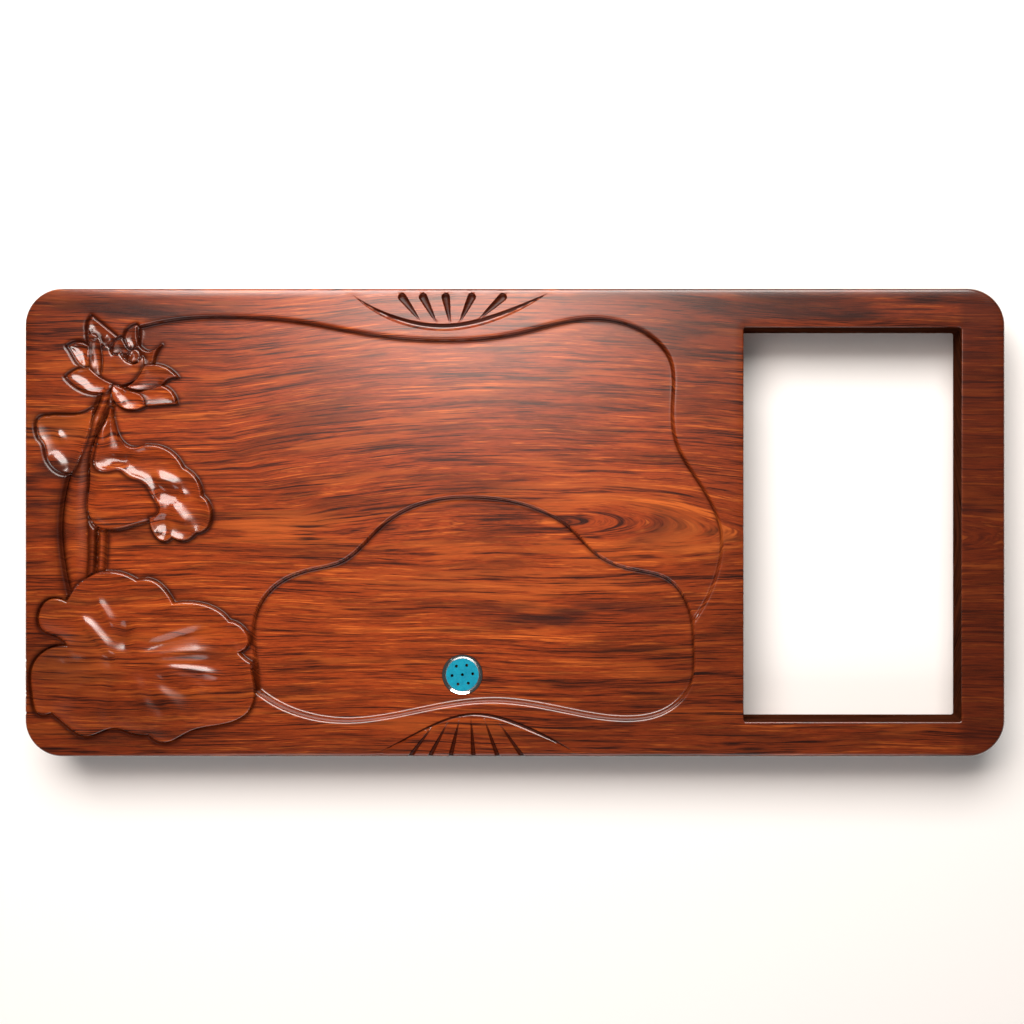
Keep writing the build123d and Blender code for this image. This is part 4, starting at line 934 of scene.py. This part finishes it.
def dull(name, colour, rough, grain):
    """Rubber or moulded plastic: a fine grain and a slow drift of its colour."""
    paint = Paint(name)
    fine = paint.noise(paint.place, grain, 4, 0.6)
    slow = paint.noise(paint.place, 60, 4, 0.6)
    dim, bright = tuple(c * 0.8 for c in colour), tuple(min(1, c * 1.15) for c in colour)
    shade = paint.ramp(slow, [(0.3, dim), (0.7, bright)])
    roughness = paint.ramp(fine, [(0.3, rough - 0.08), (0.7, rough + 0.1)])
    return paint.finish(Base_Color=shade, Roughness=roughness, Normal=paint.bump(fine, 0.00008, 0.35))


rosewood = wood("rosewood", (0.045, 0.0064, 0.0014), (0.205, 0.0275, 0.0042), (0.375, 0.052, 0.007),
                (0.62, 0.125, 0.018), 0.27)
# A far darker copy of the wood for the cut-out's walls: painted shade
shaded_cut_wood = wood("shaded_cut_wood", (0.012, 0.003, 0.0015), (0.04, 0.010, 0.004), (0.06, 0.015, 0.006),
                (0.09, 0.024, 0.01), 0.85, shine=0.0)
batten_wood = wood("batten_wood", (0.05, 0.014, 0.007), (0.15, 0.042, 0.018), (0.21, 0.062, 0.026),
                   (0.27, 0.085, 0.035), 0.5, shine=0.4)
cross_wood = wood("cross_wood", (0.045, 0.013, 0.007), (0.12, 0.036, 0.017), (0.18, 0.056, 0.026),
                  (0.24, 0.080, 0.036), 0.55, shine=0.4, turned=True)
# Thin film, rippled and blotted
film = Paint("blue_film")
ripple = film.noise(film.place, 260, 4, 0.6)
blot = film.noise(film.place, 900, 3, 0.7)
film_colour = film.ramp(ripple, [(0.3, (0.0, 0.215, 0.34)), (0.7, (0.0, 0.31, 0.44))])
film_colour = film.mix(film.ramp(blot, [(0.60, 0.0), (0.68, 0.7)]), film_colour, (0.0, 0.10, 0.16))
blue_film = film.finish(Base_Color=film_colour, Roughness=film.ramp(blot, [(0.3, 0.22), (0.7, 0.42)]),
                        Normal=film.bump(ripple, 0.0002, 0.5), Coat_Weight=0.3, Coat_Roughness=0.2)

# The drain's bowl is painted near black up to just under the strainer, painted shade under the plate
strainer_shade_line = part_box("strainer_plate")[0][2] - 0.0002
finishes = {
    "rosewood": rosewood,
    "batten_wood": batten_wood,
    "steel": metal("steel", (0.66, 0.66, 0.65), 0.32, 0.8),
    "polished_steel": metal("polished_steel", (0.86, 0.86, 0.87), 0.10, 0.0, 0.03, 0.08, strainer_shade_line),
    "blue_film": blue_film,
    "black_rubber": dull("black_rubber", (0.022, 0.022, 0.023), 0.62, 1400),
    "brass_fitting": metal("brass_fitting", (0.76, 0.53, 0.20), 0.27, 0.0, 0.09, 0.3),
    "white_nylon": dull("white_nylon", (0.74, 0.74, 0.70), 0.45, 900),
    "zinc_steel": metal("zinc_steel", (0.60, 0.62, 0.62), 0.38, 0.0, 0.1, 0.25),
}
slot_of = {part["node"]: part["material_slot"] for part in frame["record"]["subparts"]}
for node, thing in frame["nodes"].items():
    thing.data.materials.clear()
    thing.data.materials.append(cross_wood if node in BATTENS else finishes[slot_of[node]])
# The cut-out's walls and the underside are oiled, not lacquered; the walls' far darker wood is painted shade
board.data.materials.clear()
for material in (rosewood, batten_wood, shaded_cut_wood):
    board.data.materials.append(material)
for face in board.data.polygons:
    x, y, z = face.center / MM
    in_cut = abs(x - CUT_X) < CUT_LENGTH / 2 + 0.1 and abs(y - CUT_Y) < CUT_WIDTH / 2 + 0.1
    below = z < BOTTOM + 0.1 or z < POCKET_TOP + 1 and abs(face.normal.z) > 0.9
    face.material_index = 2 if in_cut and abs(face.normal.z) < 0.4 else 1 if below else 0

# Floor: a wide pale sheet that the feet stand on
floor_mesh = bpy.data.meshes.new("floor")
floor_mesh.from_pydata([(-6, -6, 0), (6, -6, 0), (6, 6, 0), (-6, 6, 0)], [], [(0, 1, 2, 3)])
floor = add_object("floor", floor_mesh)
ground = Paint("floor")
pale = (0.97, 0.945, 0.925, 1)
floor_mesh.materials.append(ground.finish(Base_Color=pale, Roughness=0.75, Specular_IOR_Level=0.2))


def lamp(name, place, target, size, power, colour=(1, 1, 1)):
    """A soft rectangular lamp that looks at the target."""
    light = bpy.data.lights.new(name, "AREA")
    light.shape = "RECTANGLE"
    light.size, light.size_y = size
    light.energy = power
    light.color = colour
    made = add_object(name, light)
    made.location = place
    made.rotation_euler = (Vector(target) - Vector(place)).to_track_quat("-Z", "Y").to_euler()
    return made


def fade(light, reach_x, reach_y, tail):
    """Lets a lamp fade from its middle, as a big diffuser does, with a wider faint tail."""
    tree = Tree(light)
    across = tree.parts(tree.nodes.new("ShaderNodeNewGeometry").outputs["Parametric"])

    def bell(reaches):
        x, y = [tree.math("POWER", tree.math("DIVIDE", tree.math("SUBTRACT", part, 0.5), reach), 2)
                for part, reach in zip(across, reaches)]
        return tree.math("EXPONENT", tree.math("MULTIPLY", tree.math("ADD", x, y), -1))

    wide = bell((reach_x * 1.3, reach_y * 2.4))
    strength = tree.math("MULTIPLY_ADD", wide, tail, bell((reach_x, reach_y)))
    tree.links.new(strength, tree.nodes["Emission"].inputs["Strength"])


# The key and a soft lamp stand behind the tray, and a weak fill in front of it
lamp("key", (-0.22, 1.36, 1.8), (-0.1, 0, 0.05), (2.3, 1.3), 84, (1, 0.955, 0.91))
SOFT_SIZE, SOFT_REACH_X, SOFT_REACH_Y = 1.7, 0.36, 0.22
veil = lamp("rear_soft", (-0.34, 0.47, 1.6), (-0.34, 0.47, 0), (SOFT_SIZE, SOFT_SIZE), 56, (1, 0.79, 0.70))
fade(veil.data, SOFT_REACH_X / SOFT_SIZE, SOFT_REACH_Y / SOFT_SIZE, 0.04)
lamp("front_fill", (-0.2, -1.7, 1.7), (0, 0, 0), (2.0, 1.2), 13)
world = bpy.data.worlds.new("studio")
world.use_nodes = True
world.node_tree.nodes["Background"].inputs[0].default_value = (1, 0.985, 0.97, 1)
world.node_tree.nodes["Background"].inputs[1].default_value = 0.06
scene = bpy.context.scene
scene.world = world
scene.view_settings.view_transform = "Standard"

# Camera: straight down from where the cut-out's walls show that the photograph was taken
camera_data = bpy.data.cameras.new("camera")
camera_data.sensor_width = 36
camera_data.lens = 43.53
camera_data.shift_x = -0.194
camera_data.shift_y = -0.0146
camera = add_object("camera", camera_data)
camera.location = (0.1798, 0.0234, 1.19)
scene.camera = camera
